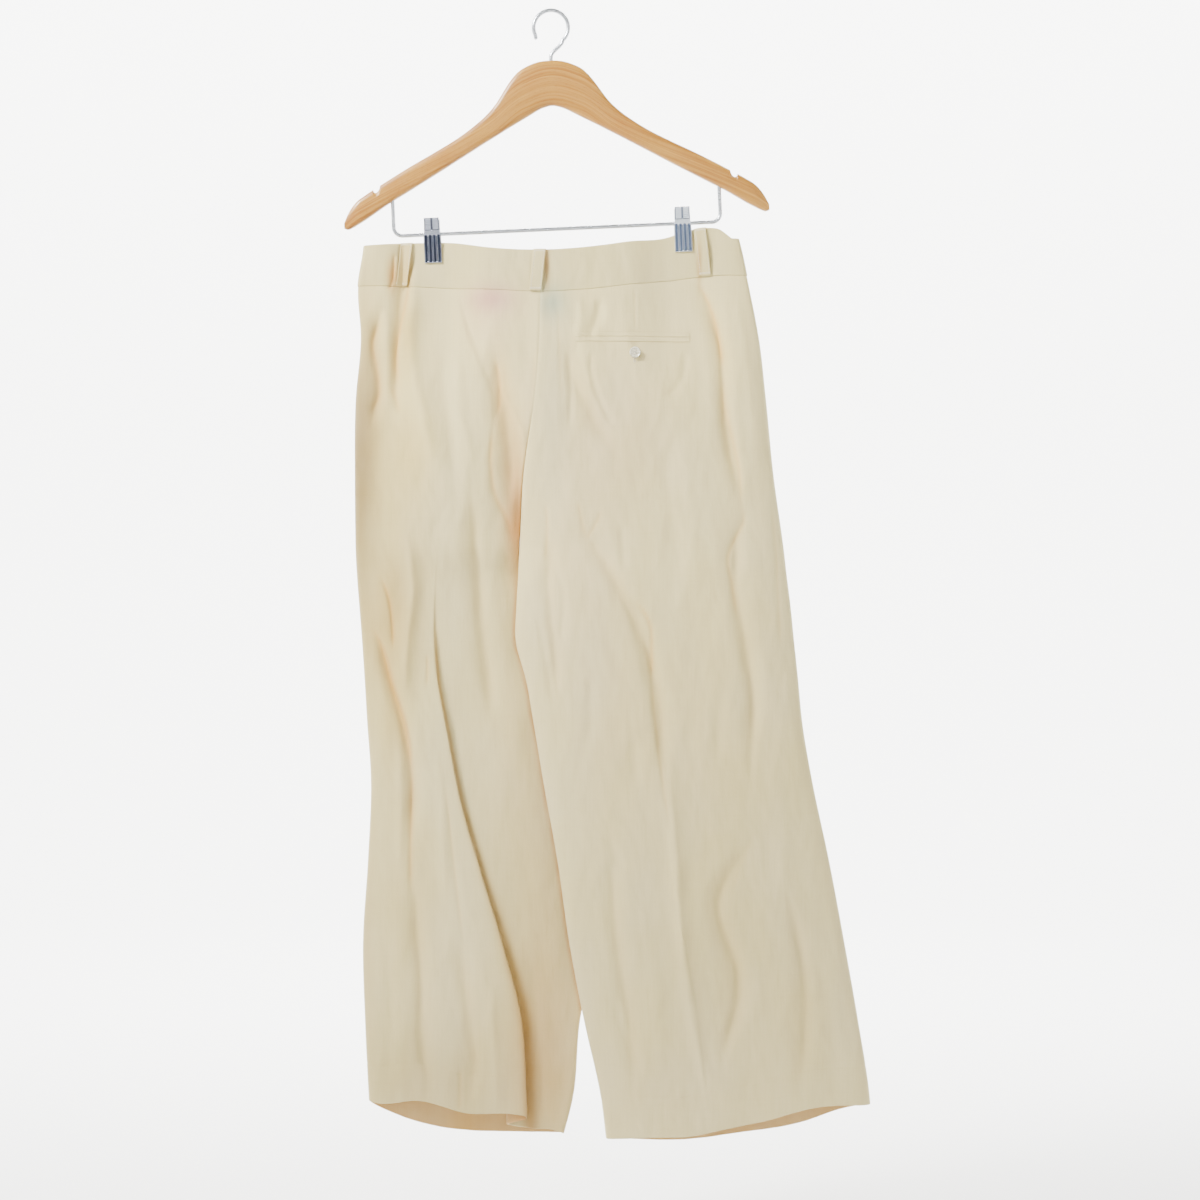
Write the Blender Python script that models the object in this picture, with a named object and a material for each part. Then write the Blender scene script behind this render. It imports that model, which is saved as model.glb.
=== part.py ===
"""Wide leg trousers clipped by the waistband to a wooden trouser hanger.

Metres, +Z up. The origin is the top of the inside of the hook, where a rail
carries everything. The garment's back faces -Y. Sizes and tables below are in
millimetres: x runs to the right of the hook as seen from -Y, down runs below
the origin, and depth runs away from -Y. Left and right are as seen from -Y.
"""

import math
from collections import namedtuple
from functools import lru_cache

import bmesh
import bpy
import numpy as np
from mathutils import Vector

MM = 0.001

# ---- cloth: driving sizes ------------------------------------------------
GAP = 0.3                # between pieces that meet
CLOTH = 1.2              # wall of a leg panel
HEM_CLOTH = 2.0          # wall where the hem is turned up inside
HEM_DEPTH = 40.0         # height of the turned-up hem
BAND_CLOTH = 2.2         # wall of the double waistband
BAND_LIFT = 0.5          # how far the waistband stands over the panels
CROTCH_DOWN = 560.0      # where the four panels meet
BODY_DOWN = 400.0        # above this the trunk is one hollow
EDGE_ROUND = 2.8         # radius of a leg's folded inner edge
FLAT_HALF = 2.35         # half the depth where a clip pinches the waist
SIDE_SHARPNESS = 2.4     # superellipse power at the side seams
TRUNK_SHARPNESS = 3.0    # superellipse power across the trunk
SEAM_FADE = 14.0         # folds die out this far from a seam

# Round power of each panel at the leg's inner edge: round where it shows,
# flat where one leg lies against the other.
INNER_SHARPNESS = {
    ("left", "back"): 1.4,
    ("right", "back"): 2.3,
    ("left", "front"): 2.3,
    ("right", "front"): 1.4,
}

Level = namedtuple(
    "Level",
    "down left_side right_side left_inner right_inner "
    "left_depth right_depth back_bulge front_bulge",
)
# Cross-sections from the waist's top edge to the hems. Above the crotch the
# inner edges are the centre seam, and below it they are the legs' own inner
# edges, with the right leg lying nearer to -Y than the left.
LEVELS = [
    Level(225, -195.5, 193.0, -10.5, -10.5, 0, 0, 8.5, 7.5),
    Level(243, -195.8, 198.0, -10.5, -10.5, 0, 0, 9.5, 8.5),
    Level(287, -202.0, 207.3, -11.0, -11.0, 0, 0, 13, 12),
    Level(342, -199.0, 217.8, -12.0, -12.0, 0, 0, 19, 17),
    Level(405, -204.2, 225.0, -17.0, -17.0, 0, 0, 24, 22),
    Level(489, -205.2, 233.5, -29.0, -29.0, 0, 0, 27, 25),
    Level(546, -204.7, 241.6, -32.2, -32.2, 0, 0, 25.3, 24.2),
    Level(560, -204.5, 243.5, -33.0, -33.0, 0, 0, 25, 24),
    Level(590, -203.0, 247.0, -30.5, -34.2, 8, -8, 23, 22),
    Level(622, -200.5, 251.0, -14.0, -36.0, 13, -12, 22, 21),
    Level(656, -197.9, 254.4, 10.0, -36.8, 16, -14, 21, 20),
    Level(700, -195.0, 259.0, 36.0, -25.5, 18, -16, 20, 19),
    Level(740, -192.6, 262.8, 52.0, -18.5, 18, -17, 20, 19),
    Level(803, -188.5, 273.3, 65.0, -8.0, 18, -18, 20, 19),
    Level(887, -191.6, 291.1, 64.0, 7.0, 17, -18, 20, 19),
    Level(971, -196.8, 306.8, 50.0, 19.0, 14, -15, 20, 19),
    Level(1054, -194.7, 321.4, 31.0, 34.5, 9, -9, 20, 19),
    Level(1138, -190.6, 334.0, 23.0, 52.5, 4, -4, 21, 20),
    Level(1184, -188.0, 336.5, 11.0, 58.0, 2, -2, 22, 21),
]

WaistPoint = namedtuple("WaistPoint", "x top seam")
# The waistband's top edge and the seam under it, from side to side.
WAIST = [
    WaistPoint(-202, 244.5, 287.5),
    WaistPoint(-143, 241.7, 288.1),
    WaistPoint(-109, 241.7, 289.6),
    WaistPoint(-69, 246.9, 291.2),
    WaistPoint(-4, 249.0, 293.3),
    WaistPoint(53, 244.8, 289.6),
    WaistPoint(86, 240.6, 285.5),
    WaistPoint(127, 236.5, 281.5),
    WaistPoint(149, 230.2, 278.7),
    WaistPoint(177, 225.8, 276.4),
    WaistPoint(190, 228.0, 276.2),
    WaistPoint(200, 237.0, 276.4),
]

HemPoint = namedtuple("HemPoint", "share down")
# The hem of each panel, from the leg's inner edge (0) to the side seam (1).
HEMS = {
    ("left", "back"): [
        HemPoint(0.00, 1174.0),
        HemPoint(0.16, 1168.0),
        HemPoint(0.32, 1166.0),
        HemPoint(0.45, 1158.0),
        HemPoint(0.57, 1149.6),
        HemPoint(0.71, 1147.5),
        HemPoint(0.76, 1142.0),
        HemPoint(0.82, 1136.5),
        HemPoint(0.94, 1140.0),
        HemPoint(1.00, 1138.0),
    ],
    ("left", "front"): [
        HemPoint(0.00, 1174.0),
        HemPoint(0.25, 1175.0),
        HemPoint(0.50, 1173.5),
        HemPoint(0.66, 1169.0),
        HemPoint(0.80, 1160.0),
        HemPoint(0.92, 1148.0),
        HemPoint(1.00, 1138.0),
    ],
    ("right", "back"): [
        HemPoint(0.00, 1178.0),
        HemPoint(0.18, 1174.5),
        HemPoint(0.34, 1172.0),
        HemPoint(0.42, 1167.0),
        HemPoint(0.60, 1156.0),
        HemPoint(0.77, 1143.5),
        HemPoint(1.00, 1142.0),
    ],
    ("right", "front"): [
        HemPoint(0.00, 1178.0),
        HemPoint(0.30, 1182.0),
        HemPoint(0.52, 1175.0),
        HemPoint(0.74, 1163.5),
        HemPoint(0.87, 1150.0),
        HemPoint(1.00, 1142.0),
    ],
}

Pleat = namedtuple("Pleat", "down x reach step")
# The deep fold down the left leg's back: the place of its edge, how far the
# outer layer reaches over the inner one, and the step in depth between them.
PLEAT = [
    Pleat(240, -72, 0.0, 0.0),
    Pleat(400, -92, 0.0, 0.0),
    Pleat(560, -117, 0.0, 0.0),
    Pleat(644, -121, 0.4, 1.2),
    Pleat(695, -118, 2.0, 3.3),
    Pleat(755, -107, 5.0, 3.7),
    Pleat(823, -94, 7.5, 3.8),
    Pleat(897, -73, 9.5, 3.9),
    Pleat(977, -49, 11.0, 4.0),
    Pleat(1048, -31, 12.0, 4.0),
    Pleat(1140, -25, 13.5, 4.0),
    Pleat(1190, -23, 14.0, 4.0),
]
PLEAT_HALF = 8.0         # half the cloth's flat width in the fold, at no reach
PLEAT_TURN = 0.12        # how sharp its two turns are
PLEAT_FADE = 45.0        # the step in depth dies out over this width
PLEAT_CENTRE = 0.45      # its share of the left back panel's columns
PLEAT_SPAN = 0.12

Fold = namedtuple("Fold", "side face width depth path")
# The main folds: half-width, height (below zero for a trough) and the route as
# (x, down) pairs from the top.
FOLDS = [
    Fold("left", "back", 9, -4.5, ((-154, 225), (-156, 300), (-161, 355), (-158, 430))),
    Fold("left", "back", 15, 4.5, ((-140, 262), (-146, 349), (-137, 403), (-116, 490))),
    Fold("left", "back", 8, -3.5, ((-173, 300), (-184, 345), (-180, 400), (-190, 445))),
    Fold("left", "back", 14, -5.0, ((-62, 345), (-52, 395), (-44, 445), (-37, 520))),
    Fold("left", "back", 10, -3.0, ((-83, 480), (-77, 570), (-68, 660), (-58, 760))),
    Fold("left", "back", 9, 3.5, ((-150, 540), (-143, 600), (-149, 660), (-151, 720))),
    Fold("left", "back", 8, -4.5, ((-186, 640), (-165, 705), (-146, 790), (-146, 880))),
    Fold("left", "back", 10, -3.0, ((-146, 880), (-136, 985), (-131, 1090), (-122, 1150))),
    Fold("left", "back", 12, -3.5, ((-95, 960), (-88, 1030), (-80, 1100), (-84, 1150))),
    Fold("right", "back", 9, -4.5, ((152, 280), (177, 350), (181, 420), (198, 520))),
    Fold("right", "back", 9, -3.0, ((198, 500), (193, 600), (210, 700), (208, 800))),
    Fold("right", "back", 11, -2.5, ((20, 330), (24, 380), (44, 425), (70, 470))),
    Fold("right", "back", 9, -3.5, ((14, 520), (66, 592), (104, 682), (121, 820))),
    Fold("right", "back", 8, 3.0, ((121, 760), (131, 890), (140, 1000), (165, 1150))),
    Fold("right", "back", 8, -2.5, ((2, 540), (-2, 600), (4, 660), (8, 730))),
    Fold("right", "back", 10, -3.5, ((210, 855), (175, 930), (196, 1010), (172, 1110))),
    Fold("right", "back", 10, -2.5, ((246, 910), (262, 990), (266, 1060), (258, 1130))),
    Fold("right", "back", 9, -2.5, ((62, 860), (68, 960), (84, 1070), (88, 1150))),
    Fold("left", "front", 11, -4.0, ((-150, 250), (-146, 330), (-152, 410), (-140, 500))),
    Fold("left", "front", 12, 3.5, ((-95, 300), (-90, 420), (-84, 560), (-80, 700))),
    Fold("left", "front", 10, -4.0, ((-60, 560), (-70, 690), (-96, 830), (-110, 1000))),
    Fold("left", "front", 10, 3.5, ((-20, 700), (-34, 840), (-52, 980), (-58, 1150))),
    Fold("left", "front", 9, -3.0, ((-160, 620), (-152, 760), (-160, 900), (-150, 1060))),
    Fold("right", "front", 12, 3.5, ((95, 300), (100, 430), (112, 580), (122, 740))),
    Fold("right", "front", 10, -4.0, ((30, 520), (60, 640), (90, 760), (112, 900))),
    Fold("right", "front", 9, -3.5, ((168, 290), (182, 400), (196, 540), (204, 700))),
    Fold("right", "front", 11, 3.0, ((150, 800), (172, 920), (196, 1040), (208, 1150))),
    Fold("right", "front", 9, -3.0, ((250, 820), (262, 930), (280, 1030), (282, 1150))),
]

# ---- grid of the panels ---------------------------------------------------
CROTCH_ROW = 9
ROWS = 25
PLAIN_COLUMNS = {("left", "front"): 18, ("right", "back"): 26, ("right", "front"): 18}
LEFT_BACK_UNDER = 9     # columns between the inner edge and the deep fold
LEFT_BACK_OUTER = 12     # columns between the deep fold and the side seam
PLEAT_STOPS = (-1, -0.62, -0.5, -0.42, -0.34, -0.15, 0.15, 0.34, 0.42, 0.5, 0.62, 1)
BAND_COLUMNS = 17
SECTION_STEPS = 96
STEP = 0.002             # shares stepped to find a surface's normal
SAMPLES = 160            # shares tried when a place is looked up on a surface
SHARES = (1 - np.cos(np.linspace(0, math.pi, SECTION_STEPS + 1))) / 2

# ---- small pieces of the garment ------------------------------------------
Loop = namedtuple("Loop", "name face top_x bottom_x")
LOOPS = [
    Loop("belt_loop_centre_back", "back", -11.5, -16.0),
    Loop("belt_loop_left_back", "back", -151.0, -156.0),
    Loop("belt_loop_right_back", "back", 155.5, 161.0),
    Loop("belt_loop_left_front", "front", -98.0, -99.0),
    Loop("belt_loop_right_front", "front", 101.0, 103.0),
]
LOOP_WIDTH = 13.0
LOOP_CLOTH = 1.2
LOOP_CLEAR = 0.7         # between a loop's sewn ends and the waistband
LOOP_RISE = 2.4          # how far a loop stands off the waistband at its middle
WELT_LEFT = 25.4         # the back pocket's two welts
WELT_RIGHT = 144.6
WELT_TOP = 335.5
WELT_HEIGHT = 5.0
WELT_CLOTH = 1.0
PATCH_CLEAR = 0.45       # between a leg panel and a piece that lies on it
FLY_LEFT = -13.0         # the fly's flap, on the front
FLY_WIDTH = 38.0
FLY_TOP = 294.3
FLY_BOTTOM = 470.0
FLY_ROUND_FROM = 0.74    # from this share down its edge curves to the seam
FLY_TOE = 0.25           # share of its width left at its lower end
FLY_CLOTH = 1.0
TAB_LEFT = -16.0         # the waistband's buttoned tab, on the front
TAB_RIGHT = 30.0
TAB_CLOTH = 1.2
BUTTON_RADIUS = 6.0
BUTTON_THICK = 2.6
BUTTON_RIM = 1.4
BUTTON_TURNS = 16
BUTTON_DISH = 0.7
BUTTON_STAND = 1.2       # its back stands this far off the cloth
POCKET_BUTTON_X = 87.8
POCKET_BUTTON_DOWN = 357.5
WAIST_BUTTON_X = 4.0
WAIST_MIDDLE_DOWN = 285.0
TRUNK_FADE = 0.8             # how soon the trunk parts into two legs
FOLD_ENDS = 0.25             # share of a fold over which each end dies out
HEM_STEP = 4.0               # the turned-up hem's wall thickens over this
BAND_END = 0.998             # the waistband's ends, as shares to the side seams
BAND_CENTRE = 0.001
LOOP_FROM = 0.01             # a loop's sewn ends, as shares down the waistband
LOOP_TO = 0.97
LOOP_BOW = 0.7               # under 1 is fuller than an arc
FLY_OVER_CENTRE = 0.2
TAB_IN = 0.03                # the tab is this share of the waistband narrower
BUTTON_FOOT = 5.2            # radius of the button's flat back
BUTTON_GIRTH = 1.2           # height of its widest part
BUTTON_CORNER = 0.4

# ---- hanger ----------------------------------------------------------------
TILT = math.radians(2.55)    # it hangs with its left arm low
HANGER_X = 6.3               # middle of the line through the arms' tips
HANGER_DOWN = 217.25
WOOD_DEPTH = 12.0
WOOD_ROUND = 3.0
WOOD_STEPS = ((0.14, 0.75), (0.68, 0.15))    # shares of a rounded corner
TIP_FROM = 205.0             # the arms get thinner from here to their tips
TIP_TO = 224.0
TIP_TAPER = 0.35
TIP_ROUND = 0.4              # largest corner, as a share of the arm's height
NOTCH_U = 187.0
NOTCH_HALF = 3.5
NOTCH_DEEP = 5.0

ArmPoint = namedtuple("ArmPoint", "u top bottom")
# Half of the wood's outline in the hanger's own axes: u along it, and heights
# of its upper and lower edges above the arms' tips.
ARM = [
    ArmPoint(0, 167.0, 120.0),
    ArmPoint(12, 166.0, 116.5),
    ArmPoint(24, 162.0, 110.0),
    ArmPoint(35, 155.5, 104.0),
    ArmPoint(43, 146.5, 99.6),
    ArmPoint(50, 136.5, 95.8),
    ArmPoint(58, 124.5, 91.2),
    ArmPoint(68, 113.5, 85.6),
    ArmPoint(82, 102.0, 77.5),
    ArmPoint(98, 91.0, 68.3),
    ArmPoint(122, 77.5, 54.3),
    ArmPoint(150, 62.8, 38.4),
    ArmPoint(178, 47.0, 22.6),
    ArmPoint(183, 44.0, 19.4),
    ArmPoint(NOTCH_U - NOTCH_HALF, 43.7, 18.9),
    ArmPoint(NOTCH_U, 41.6 - NOTCH_DEEP, 16.8),
    ArmPoint(NOTCH_U + NOTCH_HALF, 39.5, 14.6),
    ArmPoint(200, 34.0, 8.6),
    ArmPoint(208, 28.5, 4.0),
    ArmPoint(214, 22.0, 0.8),
    ArmPoint(219, 14.0, -0.8),
    ArmPoint(222.5, 6.5, 0.5),
]

WIRE_RADIUS = 2.1
ROD_SIDES = 9
HOLE_SIDES = 16
BAR_U = 171.0                # the uprights of the trouser bar
BAR_V = -9.5
BAR_CORNER = 9.0
BAR_STEPS = 6
BAR_INTO_WOOD = 6.0
BAR_HOLE = WIRE_RADIUS + GAP
HOOK_RADIUS = 2.1
HOOK_INSIDE = 16.0           # radius of the hook's inside
HOOK_FOOT_DOWN = 62.0        # the hook's foot inside the wood
HOOK_END_ANGLE = 205.0       # degrees round from the right side
HOOK_STEM_DOWN = 46.5        # the straight foot ends here
HOOK_START_ANGLE = -48.0     # where the crook leaves its stem
HOOK_STEPS = 18
STEM_STEPS = 7
HOOK_TIP_LENGTH = 4.4
HOOK_TIP_LEAN = 0.6

CLIP_U = 131.0
CLIP_WIDTH = 18.0
CLIP_PLATE = 1.2
CLIP_RIB = 0.8
CLIP_RIBS = 4
RIBS_END = -8.0              # the ribs start here, and are whole lower down
RIBS_WHOLE = -13.0
JAW_DROP = 25.0              # the jaws bite this far below the tips' line
PINCH_HALF = 11.0            # the cloth is held flat this far from a jaw
PINCH_REACH = 62.0           # and is free this far away
PINCH_WHOLE = 272.0          # levels where the clips' hold is whole and ends
PINCH_ENDS = 430.0
ClipPoint = namedtuple("ClipPoint", "v inside width")
# A clip's plate from its finger end to its jaw: height in the hanger's axes,
# distance of its inside from the middle, and width.
CLIP = [
    ClipPoint(7.0, 8.6, 15.5),
    ClipPoint(0.0, 6.0, 15.8),
    ClipPoint(-6.0, 4.6, 16.5),
    ClipPoint(-12.0, 4.1, 17.6),
    ClipPoint(-22.0, 3.9, CLIP_WIDTH),
    ClipPoint(-29.0, 3.4, CLIP_WIDTH),
    ClipPoint(-33.0, 3.2, CLIP_WIDTH),
    ClipPoint(-39.5, 3.2, CLIP_WIDTH),
]
SPRING_INSIDE = WIRE_RADIUS + GAP
SPRING_OUTSIDE = 3.3
SPRING_LENGTH = 12.0
SPRING_SIDES = 14

Finish = namedtuple("Finish", "colour roughness metallic")
FINISHES = {
    "linen": Finish((0.655, 0.600, 0.490), 0.92, 0.0),
    "linen_band": Finish((0.665, 0.610, 0.500), 0.92, 0.0),
    "button": Finish((0.760, 0.730, 0.640), 0.22, 0.0),
    "varnished_wood": Finish((0.600, 0.430, 0.235), 0.32, 0.0),
    "bright_wire": Finish((0.560, 0.570, 0.590), 0.25, 1.0),
    "chromed_steel": Finish((0.620, 0.640, 0.680), 0.14, 1.0),
}


# ---- tables and curves ------------------------------------------------------
def ease(low, high, value):
    """Smooth step from 0 at low to 1 at high."""
    share = np.clip((value - low) / (high - low), 0, 1)
    return share * share * (3 - 2 * share)


def through(places, values, at):
    """Value at a place, on a smooth curve through the given points."""
    places = np.asarray(places, float)
    values = np.asarray(values, float)
    slopes = np.gradient(values, places)
    at = np.clip(at, places[0], places[-1])
    i = np.clip(np.searchsorted(places, at) - 1, 0, len(places) - 2)
    span = places[i + 1] - places[i]
    p = (at - places[i]) / span
    start = (1 + 2 * p) * (1 - p) ** 2 * values[i] + p * (1 - p) ** 2 * span * slopes[i]
    end = p * p * (3 - 2 * p) * values[i + 1] - p * p * (1 - p) * span * slopes[i + 1]
    return start + end


def column(table, key, value, at):
    """One named column of a table, read at any place along another."""
    return through([getattr(r, key) for r in table], [getattr(r, value) for r in table], at)


# ---- the form of the cloth --------------------------------------------------
def trunk_share(down):
    """1 where the trunk is one hollow, 0 from the crotch down."""
    return ease(CROTCH_DOWN, BODY_DOWN, down) ** TRUNK_FADE


def pinch(x, down):
    """How much the clips hold front and back together."""
    near_clip = 0
    for u in (-CLIP_U, CLIP_U):
        clip_x = HANGER_X + u * math.cos(TILT) + JAW_DROP * math.sin(TILT)
        near_clip = near_clip + ease(PINCH_REACH, PINCH_HALF, abs(x - clip_x))
    return near_clip * ease(PINCH_ENDS, PINCH_WHOLE, down)


def section(side, face, down):
    """A layer's cross-section at each level, from its inner edge to its side:
    x, depth and the length run along the cloth."""
    down = np.asarray(down, float)[:, None]
    inner = column(LEVELS, "down", side + "_inner", down)
    outer = column(LEVELS, "down", side + "_side", down)
    depth = column(LEVELS, "down", side + "_depth", down)
    bulge = column(LEVELS, "down", face + "_bulge", down)
    trunk = trunk_share(down)
    share = SHARES[None, :]
    width = abs(outer - inner)
    sharp = INNER_SHARPNESS[side, face]
    inside_half = (1 - np.clip(1 - 2 * share, 0, 1) ** sharp) ** (1 / sharp)
    side_half = (1 - np.clip(2 * share - 1, 0, 1) ** SIDE_SHARPNESS) ** (1 / SIDE_SHARPNESS)
    leg = np.where(share < 0.5, inside_half, side_half)
    whole = (1 - share ** TRUNK_SHARPNESS) ** (1 / TRUNK_SHARPNESS)
    rise = trunk * whole + (1 - trunk) * leg
    inner_turn = np.sqrt(1 - (1 - np.clip(share * width / EDGE_ROUND, 0, 1)) ** 2)
    side_turn = np.sqrt(1 - (1 - np.clip((1 - share) * width / EDGE_ROUND, 0, 1)) ** 2)
    turn = (trunk + (1 - trunk) * inner_turn) * side_turn
    half = EDGE_ROUND * turn + (bulge - EDGE_ROUND) * rise
    x = inner + (outer - inner) * share
    half = half - pinch(x, down) * np.clip(half - FLAT_HALF, 0, None)
    toward = -1 if face == "back" else 1
    y = depth * (1 - share) + toward * half
    run = np.zeros_like(x)
    run[:, 1:] = np.cumsum(np.hypot(np.diff(x, axis=1), np.diff(y, axis=1)), axis=1)
    return x, y, run


def pick(run, at, values):
    """Read a value along each section at the given run of cloth."""
    i = np.clip((run < at[:, None]).sum(axis=1) - 1, 0, run.shape[1] - 2)
    rows = np.arange(len(at))
    start = run[rows, i]
    end = run[rows, i + 1]
    p = np.clip((at - start) / np.maximum(end - start, 1e-9), 0, 1)
    return values[rows, i] * (1 - p) + values[rows, i + 1] * p


def hem_of(side, face, s):
    """How far down the hem is, for shares across a panel."""
    return column(HEMS[side, face], "share", "down", s)


@lru_cache
def waist_places(side, face):
    """A layer's shares and where they come at the waist."""
    shares = np.linspace(0, 1, SAMPLES + 1)
    return shares, spread(side, face, shares, np.full(SAMPLES + 1, WAIST_MIDDLE_DOWN))[:, 0]


def waist_x(side, face, s):
    """Where a share of a layer comes at the waist."""
    shares, places = waist_places(side, face)
    return np.interp(s, shares, places)


def level_of(side, face, s, t):
    """How far down a panel's point is: t is 0 at the waist seam, CROTCH_ROW /
    ROWS at the crotch and 1 at the hem."""
    crotch_t = CROTCH_ROW / ROWS
    seam = column(WAIST, "x", "seam", waist_x(side, face, s)) + GAP / 2
    above = seam + (CROTCH_DOWN - seam) * t / crotch_t
    below = CROTCH_DOWN + (hem_of(side, face, s) - CROTCH_DOWN) * (t - crotch_t) / (1 - crotch_t)
    return np.where(t < crotch_t, above, below)


def fold_height(side, face, x, down):
    """Height of the main folds over the plain form."""
    height = np.zeros_like(x)
    for fold in FOLDS:
        if (fold.side, fold.face) != (side, face):
            continue
        downs = [p[1] for p in fold.path]
        line = through(downs, [p[0] for p in fold.path], down)
        length = downs[-1] - downs[0]
        ends = ease(downs[0] - 1, downs[0] + FOLD_ENDS * length, down)
        ends = ends * ease(downs[-1] + 1, downs[-1] - FOLD_ENDS * length, down)
        height = height + fold.depth * ends * np.exp(-(((x - line) / fold.width) ** 2))
    return height


def spread(side, face, s, down):
    """Point of a layer for shares s and levels down, before it is lifted."""
    x, y, run = section(side, face, down)
    length = run[:, -1]
    tau = np.zeros_like(s)
    reach = step = fade = 0
    if (side, face) == ("left", "back"):
        reach = np.clip(column(PLEAT, "down", "reach", down), 0, None)
        step = np.clip(column(PLEAT, "down", "step", down), 0, None)
        turn = np.arccos(np.clip(PLEAT_HALF / np.maximum(reach * math.pi, 1e-6), 0, 1)) / math.pi
        edge = column(PLEAT, "down", "x", down)
        centre_x = edge - (reach * np.sin(math.pi * turn) - PLEAT_HALF * turn)
        centre_share = (centre_x - x[:, 0]) / (x[:, -1] - x[:, 0])
        centre = pick(np.tile(SHARES, (len(s), 1)), centre_share, run)
        tau = (s - PLEAT_CENTRE) / PLEAT_SPAN
        under = s / (PLEAT_CENTRE - PLEAT_SPAN) * (centre - PLEAT_HALF)
        over_share = (s - PLEAT_CENTRE - PLEAT_SPAN) / (1 - PLEAT_CENTRE - PLEAT_SPAN)
        over = centre + PLEAT_HALF + over_share * (length - centre - PLEAT_HALF)
        at = np.where(tau < -1, under, np.where(tau > 1, over, centre + PLEAT_HALF * tau))
        outside = np.where(tau < -1, centre - PLEAT_HALF - under, over - centre - PLEAT_HALF)
        fade = np.exp(-np.clip(np.where(abs(tau) > 1, outside, 0), 0, None) / PLEAT_FADE)
        tau = np.clip(tau, -1, 1)
    else:
        at = s * length
    at = GAP / 2 + at * (length - GAP) / length
    px = pick(run, at, x)
    py = pick(run, at, y)
    inner_x = x[:, 0]
    side_x = x[:, -1]
    quiet = ease(0, SEAM_FADE, abs(px - inner_x)) * ease(0, SEAM_FADE, abs(px - side_x))
    toward = -1 if face == "back" else 1
    py = py + toward * quiet * fold_height(side, face, px, down)
    if (side, face) == ("left", "back"):
        px = px + reach * np.sin(math.pi * tau)
        first = np.tanh((tau - turn) / PLEAT_TURN)
        second = np.tanh((tau + turn) / PLEAT_TURN)
        py = py - quiet * fade * step * 0.5 * (first + second)
    return np.stack([px, py, -down], axis=1)


def panel(side, face, s, t):
    """Points of a leg panel's outer face, for shares across and down it."""
    s = np.asarray(s, float)
    t = np.asarray(t, float)
    return spread(side, face, s, level_of(side, face, s, t))


def band(face, across, t):
    """Points of the waistband's outer face: across runs -1 to 1 from the left
    side seam over the centre to the right, t runs 0 to 1 down it."""
    across = np.asarray(across, float)
    points = np.zeros((len(across), 3))
    for side, chosen in (("left", across < 0), ("right", across >= 0)):
        s = abs(across[chosen])
        x = waist_x(side, face, s)
        top = column(WAIST, "x", "top", x)
        seam = column(WAIST, "x", "seam", x) - GAP / 2
        points[chosen] = spread(side, face, s, top + (seam - top) * t[chosen])
    return points


def outward(surface, u, v, sign):
    """Unit normals of a surface, pointing out of the garment."""
    low = u.min()
    high = u.max()
    along = surface(np.clip(u + STEP, low, high), v) - surface(np.clip(u - STEP, low, high), v)
    down = surface(u, np.clip(v + STEP, 0, 1)) - surface(u, np.clip(v - STEP, 0, 1))
    normal = np.cross(along, down) * sign
    return normal / np.linalg.norm(normal, axis=1)[:, None]


# ---- making objects -----------------------------------------------------------
def material(name):
    """The material of a named finish."""
    found = bpy.data.materials.get(name)
    if found:
        return found
    finish = FINISHES[name]
    made = bpy.data.materials.new(name)
    made.use_nodes = True
    shader = made.node_tree.nodes["Principled BSDF"]
    shader.inputs["Base Color"].default_value = (*finish.colour, 1)
    shader.inputs["Roughness"].default_value = finish.roughness
    shader.inputs["Metallic"].default_value = finish.metallic
    return made


def add_object(name, points, faces, finish, smooth=True):
    """A closed object from points in millimetres."""
    mesh = bpy.data.meshes.new(name)
    mesh.from_pydata([tuple(float(c) * MM for c in p) for p in points], [], faces)
    bm = bmesh.new()
    bm.from_mesh(mesh)
    bmesh.ops.recalc_face_normals(bm, faces=bm.faces[:])
    bm.to_mesh(mesh)
    bm.free()
    if smooth:
        mesh.shade_smooth()
        mesh.set_sharp_from_angle(angle=math.radians(40))
    made = bpy.data.objects.new(name, mesh)
    made.data.materials.append(material(finish))
    bpy.context.scene.collection.objects.link(made)
    return made


def add_wall(name, outer, inner, finish):
    """A wall between two grids of points with the same rows and columns."""
    rows, columns = outer.shape[:2]
    count = rows * columns
    points = np.concatenate([outer.reshape(-1, 3), inner.reshape(-1, 3)])
    faces = []
    for i in range(rows - 1):
        for j in range(columns - 1):
            a = i * columns + j
            faces.append((a, a + 1, a + columns + 1, a + columns))
            b = a + count
            faces.append((b, b + columns, b + columns + 1, b + 1))
    rim = [(0, j) for j in range(columns)]
    rim += [(i, columns - 1) for i in range(1, rows)]
    rim += [(rows - 1, j) for j in range(columns - 2, -1, -1)]
    rim += [(i, 0) for i in range(rows - 2, 0, -1)]
    for here, there in zip(rim, rim[1:] + rim[:1]):
        a = here[0] * columns + here[1]
        b = there[0] * columns + there[1]
        faces.append((a, a + count, b + count, b))
    return add_object(name, points, faces, finish)


def add_sheet(name, surface, us, vs, sign, lift, wall, finish):
    """A wall made from a surface's points, moved out by lift at its outside."""
    u, v = np.meshgrid(us, vs)
    shape = u.shape
    points = surface(u.ravel(), v.ravel())
    normal = outward(surface, u.ravel(), v.ravel(), sign)
    thick = wall if np.isscalar(wall) else np.asarray(wall).ravel()[:, None]
    outer = points + normal * lift
    inner = outer - normal * thick
    return add_wall(name, outer.reshape(*shape, 3), inner.reshape(*shape, 3), finish)


def sign_of(side, face):
    """The sign that turns a panel's normals out of the garment."""
    return 1 if (side == "left") == (face == "back") else -1


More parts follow.
